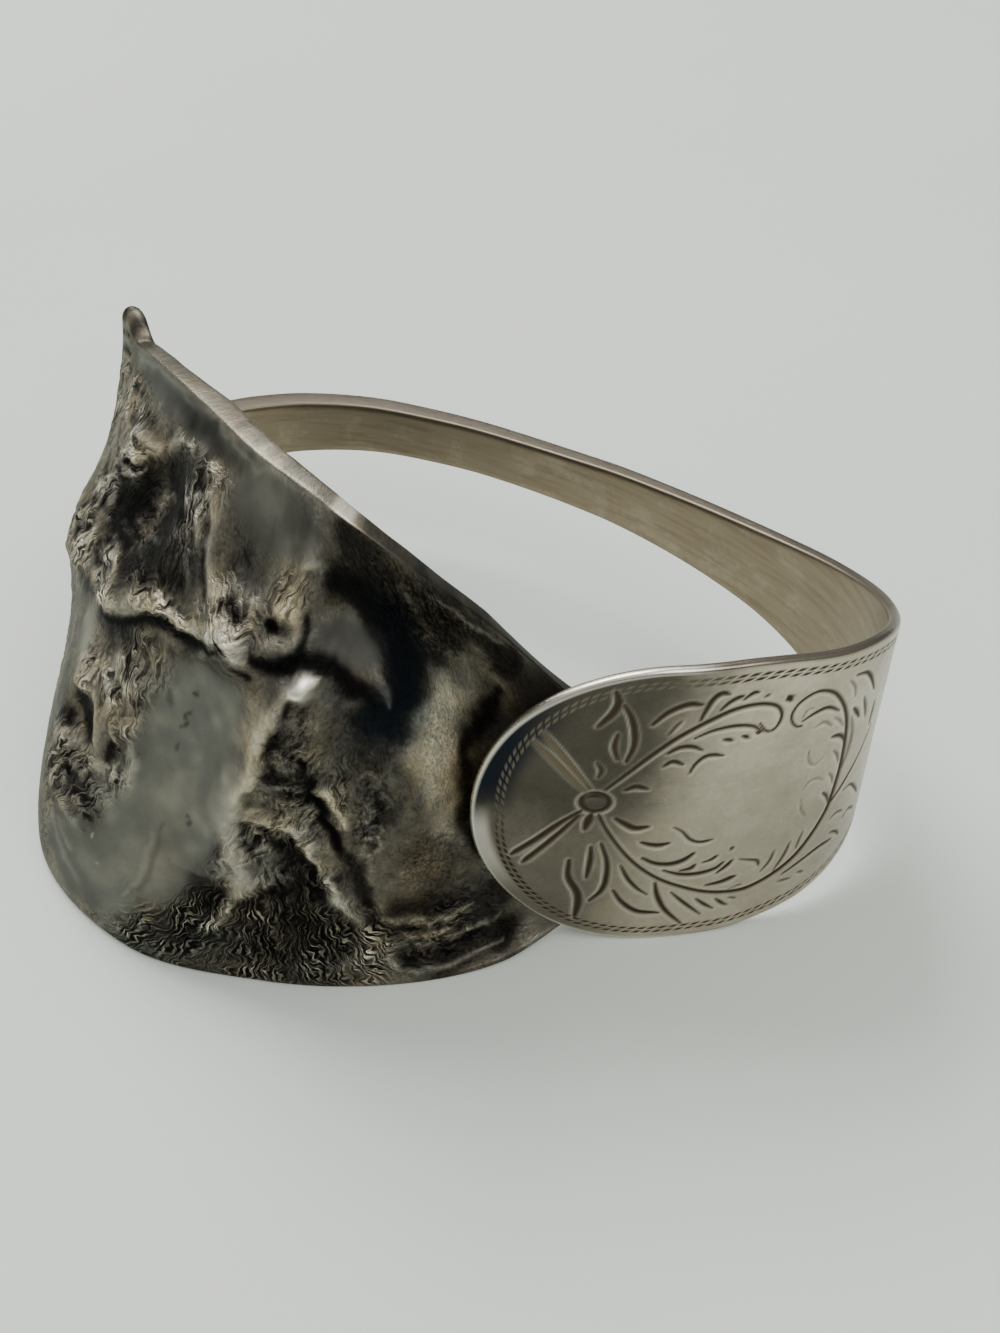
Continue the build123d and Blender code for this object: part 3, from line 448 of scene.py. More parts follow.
# engraving on the round end: half width in mm at its fullest, where along the cut it is fullest, depth in mm,
# then the cut's line in mm from the tip and up from the middle line
CUTS = [
    (0.13, 0.5, 0.10, [(7.9, 2.6), (6.7, 4.1), (5.4, 5.8), (4.3, 7.1)]),
    (0.13, 0.5, 0.10, [(8.2, 2.9), (7.2, 4.4), (6.0, 6.3), (5.0, 7.9)]),
    (0.16, 0.9, 0.13, [(7.7, 0.8), (6.2, -0.5), (4.6, -2.1), (2.9, -3.6)]),
    (0.15, 0.9, 0.12, [(7.5, 0.3), (6.4, -1.2), (5.1, -2.8), (3.7, -4.4)]),
    (0.20, 0.5, 0.12, [(8.4, 0.5), (8.2, -0.2), (8.0, -1.0)]),
    (0.17, 0.4, 0.12, [(9.5, 11.8), (9.7, 10.8), (9.4, 9.9), (8.9, 9.2), (8.5, 8.7)]),
    (0.10, 0.5, 0.09, [(9.8, 8.0), (9.65, 6.8), (9.9, 5.7)]),
    (0.13, 0.5, 0.11, [(10.1, 10.6), (10.6, 9.5), (10.9, 8.1), (10.9, 6.8), (10.5, 5.5)]),
    (0.09, 0.5, 0.08, [(8.6, 5.3), (8.9, 4.6), (8.7, 4.0)]),
    (0.13, 0.6, 0.12, [(9.2, 2.8), (10.5, 4.2), (12.3, 6.2), (14.0, 7.8), (16.0, 9.1), (17.5, 9.75),
                       (19.0, 9.85), (20.2, 9.4), (20.7, 8.6), (20.65, 7.8), (20.3, 7.2), (19.8, 7.2),
                       (19.2, 8.1)]),
    (0.15, 0.8, 0.10, [(12.0, 8.9), (13.0, 10.0), (14.2, 10.6), (15.1, 10.5)]),
    (0.08, 0.6, 0.07, [(13.1, 7.9), (13.5, 8.6), (13.9, 9.2)]),
    (0.15, 0.85, 0.11, [(15.1, 9.1), (15.4, 10.0), (15.8, 10.9), (16.3, 11.3), (16.8, 11.2)]),
    (0.13, 0.8, 0.10, [(16.3, 9.8), (17.0, 10.5), (17.8, 10.9)]),
    (0.12, 0.8, 0.10, [(17.8, 10.5), (18.4, 10.95), (18.8, 11.0)]),
    (0.10, 0.6, 0.08, [(19.2, 10.4), (19.6, 10.6)]),
    (0.12, 0.6, 0.10, [(14.9, 7.5), (16.0, 8.0), (17.5, 8.2), (18.8, 7.9), (19.5, 7.2)]),
    (0.13, 0.6, 0.10, [(13.2, 6.2), (14.0, 6.7), (14.8, 6.7), (15.5, 6.3)]),
    (0.13, 0.6, 0.10, [(13.0, 5.0), (13.6, 5.4), (14.3, 5.1)]),
    (0.12, 0.8, 0.10, [(14.8, 4.2), (15.2, 5.1), (15.9, 5.7), (17.0, 5.6)]),
    (0.13, 0.6, 0.10, [(16.8, 7.1), (17.5, 6.9)]),
    (0.13, 0.6, 0.10, [(18.1, 7.2), (18.6, 6.9)]),
    (0.10, 0.6, 0.10, [(19.0, 7.4), (19.3, 7.1)]),
    (0.14, 0.6, 0.10, [(10.6, 2.8), (11.3, 3.1), (12.1, 2.9)]),
    (0.26, 0.5, 0.14, [(21.0, 10.0), (21.2, 9.6)]),
    (0.16, 0.45, 0.13, [(22.4, 6.85), (22.0, 6.95), (21.6, 7.5), (21.5, 8.3), (22.0, 9.2), (23.2, 9.7),
                        (24.5, 9.1), (25.6, 7.6), (26.3, 6.0), (26.7, 4.2), (26.9, 2.0), (26.9, 0.0),
                        (26.7, -2.0), (26.4, -3.5), (25.4, -5.4), (24.0, -7.2), (22.3, -8.4), (20.5, -9.1),
                        (19.0, -9.1), (17.2, -8.7), (15.5, -7.9), (13.5, -6.6), (11.8, -4.9), (10.5, -3.0),
                        (9.4, -0.9), (8.9, 0.4)]),
    (0.12, 0.5, 0.10, [(22.4, 7.3), (23.3, 7.7), (24.3, 7.8), (25.4, 7.0)]),
    (0.07, 0.5, 0.05, [(22.3, 7.5), (22.6, 8.2), (23.1, 8.3)]),
    (0.14, 0.2, 0.11, [(25.2, 4.6), (26.0, 4.3), (26.6, 3.6), (26.8, 2.6)]),
    (0.09, 0.5, 0.06, [(23.5, 6.3), (24.2, 6.5), (25.0, 5.8)]),
    (0.08, 0.5, 0.06, [(25.0, 6.6), (25.7, 5.9), (26.2, 5.1)]),
    (0.07, 0.5, 0.05, [(23.4, 4.2), (23.6, 3.0), (24.2, 2.4), (24.8, 2.9)]),
    (0.07, 0.5, 0.05, [(23.6, 0.2), (24.0, 0.8), (24.7, 0.8), (25.3, 0.3)]),
    (0.07, 0.5, 0.05, [(23.6, -0.8), (23.8, -2.0), (24.3, -2.9)]),
    (0.09, 0.5, 0.07, [(25.7, 3.0), (26.2, 2.3), (26.5, 1.4)]),
    (0.09, 0.5, 0.07, [(25.7, 0.8), (26.2, 0.0), (26.4, -0.8)]),
    (0.11, 0.3, 0.09, [(25.5, -1.1), (26.1, -1.9), (26.4, -2.8)]),
    (0.16, 0.5, 0.06, [(26.9, 5.6), (27.4, 3.6), (27.4, 2.0), (27.1, 0.3)]),
    (0.15, 0.4, 0.10, [(26.9, 6.4), (27.4, 5.7), (27.8, 5.0)]),
    (0.14, 0.4, 0.08, [(27.9, 6.8), (28.4, 5.5), (28.7, 4.4)]),
    (0.13, 0.5, 0.11, [(26.4, 9.7), (27.6, 9.2), (28.5, 8.0), (29.1, 6.7)]),
    (0.08, 0.5, 0.06, [(25.8, 9.6), (26.5, 8.6), (26.8, 7.5)]),
    (0.12, 0.5, 0.09, [(29.7, 5.2), (29.8, 4.0), (29.7, 2.8)]),
    (0.13, 0.3, 0.09, [(26.4, -3.2), (27.6, -1.9), (28.8, -0.4), (29.6, 0.9), (30.2, 2.4)]),
    (0.11, 0.5, 0.09, [(28.0, -2.6), (28.8, -2.6), (29.6, -3.4), (30.7, -5.0)]),
    (0.11, 0.5, 0.08, [(27.0, -5.0), (27.8, -4.8), (28.5, -5.1)]),
    (0.10, 0.5, 0.08, [(28.8, -6.3), (29.5, -5.8), (30.6, -6.6)]),
    (0.11, 0.5, 0.09, [(27.4, -6.7), (28.2, -7.2), (28.8, -8.0)]),
    (0.14, 0.8, 0.10, [(23.2, -8.7), (24.8, -8.0), (26.3, -7.6), (27.8, -7.7)]),
    (0.10, 0.5, 0.08, [(22.9, -9.4), (24.1, -9.6)]),
    (0.10, 0.5, 0.08, [(24.6, -9.2), (25.2, -9.5)]),
    (0.10, 0.5, 0.08, [(21.3, -7.6), (21.9, -6.8), (22.2, -5.6)]),
    (0.11, 0.5, 0.08, [(22.4, -7.9), (23.1, -6.5), (23.4, -5.2)]),
    (0.10, 0.5, 0.07, [(24.0, -6.3), (24.4, -4.5)]),
    (0.11, 0.8, 0.09, [(19.4, -5.6), (20.3, -6.0), (20.9, -6.3), (21.1, -6.9)]),
    (0.19, 0.6, 0.13, [(10.1, 0.0), (10.8, -0.6), (11.5, -1.05), (12.4, -0.9)]),
    (0.17, 0.6, 0.13, [(12.0, -2.5), (12.6, -2.8), (13.3, -2.95), (14.0, -2.75)]),
    (0.11, 0.85, 0.10, [(14.2, -1.1), (14.8, -1.6), (15.5, -2.6), (16.2, -3.0), (17.1, -2.9)]),
    (0.19, 0.7, 0.13, [(12.2, -4.2), (13.2, -4.9), (14.3, -5.1), (15.2, -4.8), (15.9, -4.1)]),
    (0.16, 0.6, 0.12, [(13.8, -5.7), (15.0, -6.3), (16.3, -6.5), (17.6, -6.2), (18.2, -5.6)]),
    (0.14, 0.7, 0.11, [(15.0, -5.9), (15.8, -5.8), (16.1, -5.4)]),
    (0.11, 0.7, 0.10, [(16.6, -5.3), (17.3, -5.1), (17.7, -4.7)]),
    (0.13, 0.6, 0.10, [(17.8, -6.7), (18.5, -6.1), (18.9, -5.5)]),
    (0.17, 0.8, 0.12, [(17.1, -7.9), (18.3, -7.8), (19.3, -7.4)]),
    (0.13, 0.5, 0.09, [(18.6, -4.4), (18.8, -4.1)]),
    (0.08, 0.6, 0.07, [(18.9, -8.7), (19.9, -8.5)]),
    (0.12, 0.5, 0.10, [(10.7, -4.9), (11.3, -6.4), (12.0, -7.5), (12.8, -8.3)]),
    (0.17, 0.7, 0.12, [(10.3, -7.6), (11.0, -9.0), (12.2, -10.2), (13.8, -10.5)]),
    (0.16, 0.4, 0.12, [(13.3, -7.0), (13.6, -8.6), (14.3, -10.3), (15.6, -12.0)]),
    (0.12, 0.5, 0.10, [(14.6, -8.3), (15.6, -9.6), (17.0, -11.2)]),
    (0.12, 0.5, 0.10, [(16.5, -9.3), (17.2, -10.1), (17.9, -10.7)]),
    (0.12, 0.5, 0.10, [(18.0, -9.6), (18.6, -10.3), (19.0, -10.6)]),
    (0.09, 0.5, 0.08, [(19.0, -9.7), (19.6, -10.0)]),
    (0.20, 0.75, 0.14, [(7.0, -4.2), (7.0, -6.0), (7.7, -7.8), (7.8, -9.0), (7.6, -10.5)]),
    (0.14, 0.5, 0.11, [(8.5, -2.8), (8.5, -4.2), (8.3, -6.1)]),
    (0.15, 0.7, 0.12, [(9.2, -2.5), (9.7, -4.5), (9.7, -6.5), (9.4, -7.7), (8.6, -8.7)])]

# oval boss in the middle of the cross: mm from the tip and up from the middle line, half length and half
# height, then the depths of the groove round it and of its dome
BOSS = (8.6, 1.6, 0.95, 0.85)
BOSS_GROOVE = 0.13
BOSS_DOME = 0.10

# painted highlight beside a cut: its distance from the cut and half width in mm, and its strength on the far
# side
CUT_HIGHLIGHT_GAP = 0.14
CUT_HIGHLIGHT_WIDTH = 0.11
FAR_CUT_HIGHLIGHT = 0.35

# shallow dent in the round end: mm from the tip and up from the middle line, half spreads, depth
DENT = (3.5, 7.5, 6.5, 7.0)
DENT_DEPTH = 0.55

# end in mm of the part of the strip that has a fine grid, the grid's step there, the places of the rows nearest
# the edges, and the rows across the outer and the inner face between them
FINE_LENGTH = 44.0
FINE_STEP = 0.15
EDGE_RISE = 0.956
OUTER_LEVELS = 163
INNER_LEVELS = 20


def values_at(rows, places):
    """Cubic through the rows of a table: each span runs from one row to the next, and the slope at a row is
    that between its two neighbours."""
    spots = rows[:, 0]
    values = rows[:, 1:]
    ahead = np.minimum(np.arange(len(rows)) + 1, len(rows) - 1)
    behind = np.maximum(np.arange(len(rows)) - 1, 0)
    slopes = (values[ahead] - values[behind]) / (spots[ahead] - spots[behind])[:, None]
    low = np.clip(np.searchsorted(spots, places, side="right") - 1, 0, len(rows) - 2)
    span = (spots[low + 1] - spots[low])[:, None]
    t = ((places - spots[low]) / span[:, 0])[:, None]
    return ((2 * t**3 - 3 * t**2 + 1) * values[low] + (3 * t**2 - 2 * t**3) * values[low + 1]
            + ((t**3 - 2 * t**2 + t) * slopes[low] + (t**3 - t**2) * slopes[low + 1]) * span)


def with_lengths(points):
    """Table of points with the length of line in front of each, and the whole length."""
    points = np.asarray(points, float)
    lengths = np.concatenate([[0], np.cumsum(np.linalg.norm(np.diff(points, axis=0), axis=1))])
    return np.column_stack([lengths, points]), lengths[-1]


def near_line(x, y, line):
    """Distance from each (x, y) to a smooth line through a few points, how far along it the nearest spot is,
    from 0 to 1, and on which side it lies: 1 on the left of the way and -1 on the right."""
    table, length = with_lengths(line)
    stops = np.linspace(0, length, STEPS_PER_SPAN * (len(line) - 1) + 1)
    path = values_at(table, stops)
    best = np.full(x.shape, 1e9)
    share = np.zeros(x.shape)
    side = np.zeros(x.shape)
    for (ax, ay), (bx, by), start, end in zip(path[:-1], path[1:], stops[:-1], stops[1:]):
        dx, dy = bx - ax, by - ay
        t = np.clip(((x - ax) * dx + (y - ay) * dy) / (dx**2 + dy**2), 0, 1)
        far = np.hypot(x - ax - t * dx, y - ay - t * dy)
        closer = far < best
        best = np.where(closer, far, best)
        share = np.where(closer, (start + t * (end - start)) / length, share)
        side = np.where(closer, np.sign(dx * (y - ay) - dy * (x - ax)), side)
    return best, share, side


def box_round(x, y, line, reach):
    """Which spots lie in the upright box round a line, widened by a reach."""
    low, high = line.min(axis=0) - reach, line.max(axis=0) + reach
    return (x > low[0]) & (x < high[0]) & (y > low[1]) & (y < high[1])


def soft_step(value, low, high):
    """Nought below low, one above high, and a smooth rise between."""
    t = np.clip((value - low) / (high - low), 0, 1)
    return t * t * (3 - 2 * t)


def hill(x, y, row):
    """Bell of height one centred on a table row: exp of minus the squared distance in half spreads."""
    return np.exp(-((x - row[0]) / row[2])**2 - ((y - row[1]) / row[3])**2)


def lattice_noise(x, y, seed):
    """Smooth noise from 0 to 1: random values on whole numbers, eased between them, repeating after 128."""
    table = np.random.default_rng(seed).random((128, 128))
    column, row = np.floor(x).astype(int), np.floor(y).astype(int)
    tx, ty = soft_step(x - column, 0, 1), soft_step(y - row, 0, 1)
    left, right = column % 128, (column + 1) % 128
    low, high = (table[line % 128, left] * (1 - tx) + table[line % 128, right] * tx for line in (row, row + 1))
    return low * (1 - ty) + high * ty


def sway(x, y, size, seed):
    """Smooth noise from -0.5 to 0.5 with bumps of one size."""
    return lattice_noise(x / size, y / size, seed) - 0.5


def wrinkle_noise(x, y, degrees, seed):
    """Long wavy ridges that run in one direction: noise stretched along it, bent by slower noise, and folded
    so that its middle value becomes a crest."""
    angle = math.radians(degrees)
    along = x * math.cos(angle) + y * math.sin(angle)
    across = y * math.cos(angle) - x * math.sin(angle)
    bend = lattice_noise(x / 3.1, y / 3.1, seed + 1) * 2.6 + lattice_noise(x / 1.2, y / 1.2, seed + 2) * 0.7
    height = np.zeros(x.shape)
    for octave in range(2):
        scale = WRINKLE_SPACING / 1.9**octave
        value = lattice_noise(along / (scale * WRINKLE_STRETCH) + 7 * octave,
                              (across + bend) / scale + 3 * octave, seed + 3 + octave)
        height += (1 - np.abs(2 * value - 1))**1.5 / 1.7**octave
    return height / (1 + 1 / 1.7) - 0.45


def blurred(grid, cells):
    """Grid averaged three times over a square window with sides of 2 * cells + 1, edges repeated."""
    width = 2 * cells + 1
    for axis in (0, 1):
        size = grid.shape[axis]
        pad = [(cells + 1, cells) if axis == other else (0, 0) for other in (0, 1)]
        for _ in range(3):
            total = np.cumsum(np.pad(grid, pad, mode="edge"), axis=axis)
            grid = (np.take(total, range(width, width + size), axis=axis)
                    - np.take(total, range(size), axis=axis)) / width
    return grid


def handle_frame(places):
    """Middle line of the strip: x, y and outward direction at distances in mm from the round end."""
    here = values_at(HANDLE_ROWS, places)
    step = 0.2
    way = (values_at(HANDLE_ROWS, np.minimum(places + step, HANDLE_LENGTH))
           - values_at(HANDLE_ROWS, np.maximum(places - step, 0)))
    way /= np.linalg.norm(way, axis=1)[:, None]
    return here[:, 0], here[:, 1], np.column_stack([way[:, 1], -way[:, 0]])


HANDLE_ROWS, HANDLE_LENGTH = with_lengths(HANDLE_LINE)


def loop_faces(columns, loop):
    """Four-sided faces of a grid whose second direction closes on itself, wound to point outwards."""
    index = np.arange(columns * loop).reshape(columns, loop)
    after = np.roll(index, -1, axis=1)
    return np.stack([index[:-1], index[1:], after[1:], after[:-1]], axis=2).reshape(-1, 4)


def new_piece(name, points, attributes, material):
    """Mesh object from a grid of points in mm, columns by the loop round each, with four-sided faces, a flat
    end on the first and the last loop and its attributes, riding on the one body and standing for the solid."""
    columns, loop, _ = points.shape
    count = columns * loop
    faces = loop_faces(columns, loop)
    mesh = bpy.data.meshes.new(name)
    mesh.vertices.add(count)
    mesh.vertices.foreach_set("co", (points / 1000).astype(np.float32).ravel())
    ends = np.concatenate([np.arange(loop), count - 1 - np.arange(loop)])
    corners = np.concatenate([faces.ravel(), ends]).astype(np.int32)
    mesh.loops.add(len(corners))
    mesh.loops.foreach_set("vertex_index", corners)
    mesh.polygons.add(len(faces) + 2)
    starts = np.concatenate([np.arange(0, faces.size + 1, 4), [faces.size + loop]]).astype(np.int32)
    mesh.polygons.foreach_set("loop_start", starts)
    mesh.polygons.foreach_set("use_smooth", np.arange(len(faces) + 2) < len(faces))
    mesh.update(calc_edges=True)
    mesh.validate()
    for key, values in attributes.items():
        mesh.attributes.new(key, "FLOAT_VECTOR", "POINT").data.foreach_set(
            "vector", values.astype(np.float32).ravel())
    piece = bpy.data.objects.new(name, mesh)
    bpy.context.scene.collection.objects.link(piece)
    mesh.materials.append(material)
    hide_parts("spoon_bracelet")
    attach(piece, "root")
    return piece


def strip_width(inward):
    """Width of the strip at distances from its round end: half a circle first, then the table of widths."""
    width = values_at(HANDLE_WIDTHS, inward / HANDLE_LENGTH) @ (END_WIDTH, STEM_WIDTH, NECK_WIDTH)
    round_end = 2 * np.sqrt(np.maximum(END_RADIUS**2 - (END_RADIUS - inward)**2, 0))
    return np.where(inward < END_RADIUS, round_end, np.minimum(width, END_WIDTH))


def cut_depths(inward, level):
    """Depth of the engraving, how dark it is and how bright the painted highlight beside it. Each cut is a bell
    across its line, and its width grows and shrinks along it; the painted highlight is a thin bell on its right
    side, weaker on its left. The boss is a ring groove round a low dome, with a painted highlight ring just
    outside the groove."""
    depth, dark, cut_highlight = (np.zeros(inward.shape) for _ in range(3))
    for half, fullest, deep, line in CUTS:
        near = box_round(inward, level, np.array(line), 0.8)
        far, share, side = near_line(inward[near], level[near], line)
        swell = np.where(share < fullest, share / fullest, (1 - share) / (1 - fullest))
        body = 0.45 + 0.55 * np.sin(np.clip(swell, 0, 1) * math.pi / 2)
        reach = half * body * 1.40
        bell = np.exp(-(far / reach)**2)
        depth[near] = np.maximum(depth[near], deep * body * bell)
        dark[near] = np.maximum(dark[near], min(deep / 0.10, 1.0) * bell)
        lip = np.exp(-((far - reach - CUT_HIGHLIGHT_GAP) / CUT_HIGHLIGHT_WIDTH)**2) * np.where(side < 0, 1.0, FAR_CUT_HIGHLIGHT)
        cut_highlight[near] = np.maximum(cut_highlight[near], min(deep / 0.11, 1.0) * body * lip)
    ring = np.hypot((inward - BOSS[0]) / BOSS[2], (level - BOSS[1]) / BOSS[3])
    groove = np.exp(-((ring - 1) / 0.16)**2)
    depth = np.where(ring < 1.3, np.maximum(depth * (ring > 1), BOSS_GROOVE * groove), depth)
    dark = np.where(ring < 1.3, np.maximum(dark * (ring > 1), groove), dark)
    depth -= BOSS_DOME * soft_step(1 - ring, 0.05, 0.75)
    cut_highlight = np.maximum(cut_highlight * (1 - dark), np.exp(-((ring - 1.38) / 0.14)**2) * 0.7)
    return depth, dark, cut_highlight


def strip_face(inward, rise, side):
    """Points, places, border, and finish with the painted highlights beside the cuts, of one face of the strip,
    over a grid of distances from the round end and levels from -1 to 1 across the width. Side is 1 outside and
    -1 inside.
    The face lies at middle line + side * outward * (half thickness - rounding of the edge - cuts), dented and
    waved a little."""
    x, y, out = (part[:, None] for part in handle_frame(inward))
    half_width = strip_width(inward)[:, None] / 2
    thickness = (values_at(HANDLE_THICKNESSES, inward / HANDLE_LENGTH)
                 @ (END_THICKNESS, STEM_THICKNESS, NECK_THICKNESS))[:, None]
    a, b = np.broadcast_arrays(inward[:, None], half_width * rise)
    margin = np.where(a < END_RADIUS, END_RADIUS - np.hypot(a - END_RADIUS, b), half_width - np.abs(b))
    margin = np.maximum(margin, 0)
    bend = np.minimum(EDGE_ROUND, thickness / 2 - 0.05)
    short = np.maximum(bend - margin, 0)
    face = thickness / 2 - bend + np.sqrt(np.maximum(bend**2 - short**2, 0))
    dark = cut_highlight = zero = np.zeros(a.shape)
    if side > 0:
        depth, dark, cut_highlight = cut_depths(a, b)
        face = face - depth * soft_step(margin, 0.3, 0.8)
    wave = 0.10 * sway(a + 15, b + 200, 5.0, 5) * soft_step(half_width, 4, 10)
    offset = side * face - DENT_DEPTH * hill(a, b, DENT) + wave
    points = np.stack([x + out[..., 0] * offset, y + out[..., 1] * offset, BAND_LEVEL + b], axis=2)
    run = np.where(a < END_RADIUS, END_RADIUS * np.arctan2(b, END_RADIUS - a),
                   np.sign(b) * (END_RADIUS * math.pi / 2 + a - END_RADIUS))
    place = np.stack([a, b + STRIP_SHIFT * (side < 0), zero], axis=2)
    border = np.stack([run, margin, (side > 0) * soft_step(BORDER_END - a, 0, 6)], axis=2)
    return points, place, border, np.stack([dark, zero + (side < 0), cut_highlight], axis=2)


def make_handle(material):
    """Flat strip on edge: the outer face and the inner face, joined into one loop round each place."""
    inward = np.concatenate([0.002 * np.arange(1, 38)**2, np.arange(2.89, FINE_LENGTH, FINE_STEP),
                             np.linspace(FINE_LENGTH, HANDLE_LENGTH, 78)])
    edge = 1 - (1 - EDGE_RISE) * (np.arange(6) / 6)**2
    outer_rise, inner_rise = (np.concatenate([-edge, np.linspace(-EDGE_RISE, EDGE_RISE, count), edge[::-1]])
                              for count in (OUTER_LEVELS, INNER_LEVELS))
    points, place, border, finish_and_painted_light = (
        np.concatenate(pair, axis=1)
        for pair in zip(strip_face(inward, outer_rise, 1), strip_face(inward, inner_rise[::-1], -1)))
    attributes = {"place": place, "border": border, "finish_and_painted_light": finish_and_painted_light}
    return new_piece("spoon_handle", points, attributes, material)


def horn_lift(along, up):
    """Extra height of the curled horn at the left end: steep sides and a round top, only close to the rim."""
    off = np.abs(along - HORN_PLACE) * BOWL_LENGTH / HORN_WIDTH
    return HORN_HEIGHT * np.exp(-off**2.4)[:, None] * up**12


def plain_bowl(along, up):
    """Smooth bowl wall as arrays along by up: straight line from foot to rim, plus a bulge outward that is a
    sine of the level to the power 0.7."""
    x, y, out = handle_frame(np.array([HANDLE_LENGTH]))
    start = (x[0] + out[0, 0] * NECK_THICKNESS / 2, y[0] + out[0, 1] * NECK_THICKNESS / 2)
    sizes = (1, HALF_LENGTH, HALF_DEPTH, BOWL_HEIGHT, HALF_LENGTH, HALF_DEPTH, BOWL_HEIGHT, BOWL_BULGE)
    neck = (0, *start, BAND_LEVEL - NECK_WIDTH / 2, *start, BAND_LEVEL + NECK_WIDTH / 2, 0)
    rows = np.vstack([neck, BOWL_SECTIONS * sizes])
    here = values_at(rows, along)
    step = 0.004
    way = values_at(rows, np.minimum(along + step, 1)) - values_at(rows, np.maximum(along - step, 0))
    way = way[:, 0:2] + way[:, 3:5]
    way /= np.linalg.norm(way, axis=1)[:, None]
    out = np.column_stack([way[:, 1], -way[:, 0]])
    foot = here[:, 0:3].copy()
    foot[:, 2] = np.maximum(foot[:, 2], 0) + FLOOR_GAP
    points = foot[:, None] * (1 - up[:, None]) + here[:, None, 3:6] * up[:, None]
    points[..., :2] += out[:, None] * (here[:, 6:] * np.sin(np.pi * up**0.7))[..., None]
    points[..., 2] += horn_lift(along, up)
    return points, out


def raised_folds(x, y, bent_x, bent_y):
    """Height of the folds in mm, and how far they droop. A fold is tall * exp(-(d / spread)**1.5), with d the
    distance from its crest line and a spread that differs on the two sides, and one that leans to the left
    of the way droops in step with its height."""
    height, droop = np.zeros(x.shape), np.zeros(x.shape)
    for crest, half, lean, line in FOLDS:
        line = np.array(line) / 1000 * (BOWL_LENGTH, BOWL_HEIGHT)
        near = box_round(x, y, line, 4.0 * half + 2)
        far, share, side = near_line(bent_x[near], bent_y[near], line)
        ends = soft_step(share, 0, 0.22) * soft_step(1 - share, 0, 0.22)
        bell = np.exp(-(np.hypot(far, 0.15) / (half * (1.15 + 0.8 * lean * side)))**1.5) * ends
        height[near] += 0.62 * crest * bell
        droop[near] += 0.5 * max(lean, 0) * crest * bell
    return height, droop


def painted_tone(x, y, bent_x, bent_y):
    """Tone of the patina and of the painted light and shade: each stroke moves it to its own by a bell across
    its line, slimmer at the ends.
    """
    tone = np.full(x.shape, BARE_TONE)
    for shade, strength, half, line in PATINA_AND_PAINTED_LIGHT:
        line = np.array(line) / 1000 * (BOWL_LENGTH, BOWL_HEIGHT)
        near = box_round(x, y, line, 2.6 * half + 2)
        far, share, _ = near_line(bent_x[near], bent_y[near], line)
        slim = half * (0.55 + 0.45 * soft_step(np.minimum(share, 1 - share), -0.1, 0.35))
        tone[near] += strength * np.exp(-(far / slim)**2.4) * (shade - tone[near])
    return tone


def ridged_ground(a, u, x, y):
    """Wrinkles in mm, the shares of hair-fine ridges and of grain, and the way of the ridges as the cosine and
    sine of twice its angle, counted from FLOW_START. Each row counts by its bell."""
    wrinkle = np.zeros(a.shape)
    ridged, grainy, turn_x = (np.full(a.shape, bare) for bare in (BARE_RIDGED, BARE_GRAINY, -0.05))
    turn_y = np.zeros(a.shape)
    for index, row in enumerate(GROUNDS):
        tall, degrees, hair, grain = row[4:]
        weight = hill(a, u, row)
        wrinkle += tall * weight * wrinkle_noise(x, y, degrees, 50 + 9 * index)
        ridged = np.maximum(ridged, hair * np.minimum(1.3 * weight, 1))
        grainy = np.maximum(grainy, grain * np.minimum(1.3 * weight, 1))
        turn_x += weight * math.cos(2 * math.radians(degrees - FLOW_START))
        turn_y += weight * math.sin(2 * math.radians(degrees - FLOW_START))
    size = np.maximum(np.hypot(turn_x, turn_y), 1e-6)
    return wrinkle, ridged, grainy, turn_x / size, turn_y / size


def bowl_relief(along, up):
    """Broad swell, then the height of the outer side above it in mm, droop, tone, how far it is ridged and
    grainy, and the flow of its ridges. The folds and strokes are bent a little by noise, the pools are smooth,
    and the heights fade out towards the edges."""
    a, u = np.meshgrid(along, up, indexing="ij")
    x = a * BOWL_LENGTH
    y = u * BOWL_HEIGHT
    fade = soft_step(np.minimum.reduce([u / 0.08, (1 - u) / 0.08, a / 0.10, (1.0 - a) / 0.05]), 0, 1)
    swell = sum(row[4] * hill(a, u, row) for row in SWELLS) * fade
    bent = [part + 0.9 * sway(x, y, 2.6, seed) + 0.5 * sway(x, y, 1.0, seed + 2)
            for part, seed in ((x, 31), (y, 32))]
    height, droop = raised_folds(x, y, *bent)
    tone = painted_tone(x, y, *bent)
    height += 0.6 * hill(a, u, KNOB)
    pool = soft_step(np.maximum.reduce([hill(a, u, row) for row in POOLS]), 0.25, 0.60)
    wrinkle, ridged, grainy, turn_x, turn_y = ridged_ground(a, u, x, y)
    pebble = sway(x, y, 0.8, 71) + 0.5 * sway(x, y, 0.4, 72)
    rough = (1 - 0.92 * pool) * (1 - 0.7 * soft_step(u, 0.94, 0.985) * soft_step(0.62 - a, 0, 0.05))
    height += (1.7 * wrinkle + 0.07 * pebble * grainy) * rough
    mottle = 0.12 * (sway(x, y, 3.0, 81) + sway(x, y, 1.1, 82))
    tone += mottle * (0.5 + 0.5 * rough) * soft_step(tone, 0, 0.3)
    fan = (1 - soft_step(u, 0.20, 0.34)) * soft_step(a, 0.50, 0.55) * (1 - soft_step(a, 0.73, 0.77))
    return swell, height * fade, droop * fade, tone, ridged * rough, grainy * rough, (turn_x, turn_y, fan)


def rolled(start, end, tall, squareness):
    """Arc over an edge from one face to the other: half an ellipse, squared off at the corners by a power of
    its cosine and sine."""
    turns = np.linspace(0, math.pi, EDGE_ROWS + 2)[1:-1]
    across = np.sign(np.cos(turns)) * np.abs(np.cos(turns))**squareness
    arc = (start + end)[:, None] / 2 + (start - end)[:, None] / 2 * across[..., None]
    arc[..., 2] += tall * np.sin(turns)**squareness
    return arc


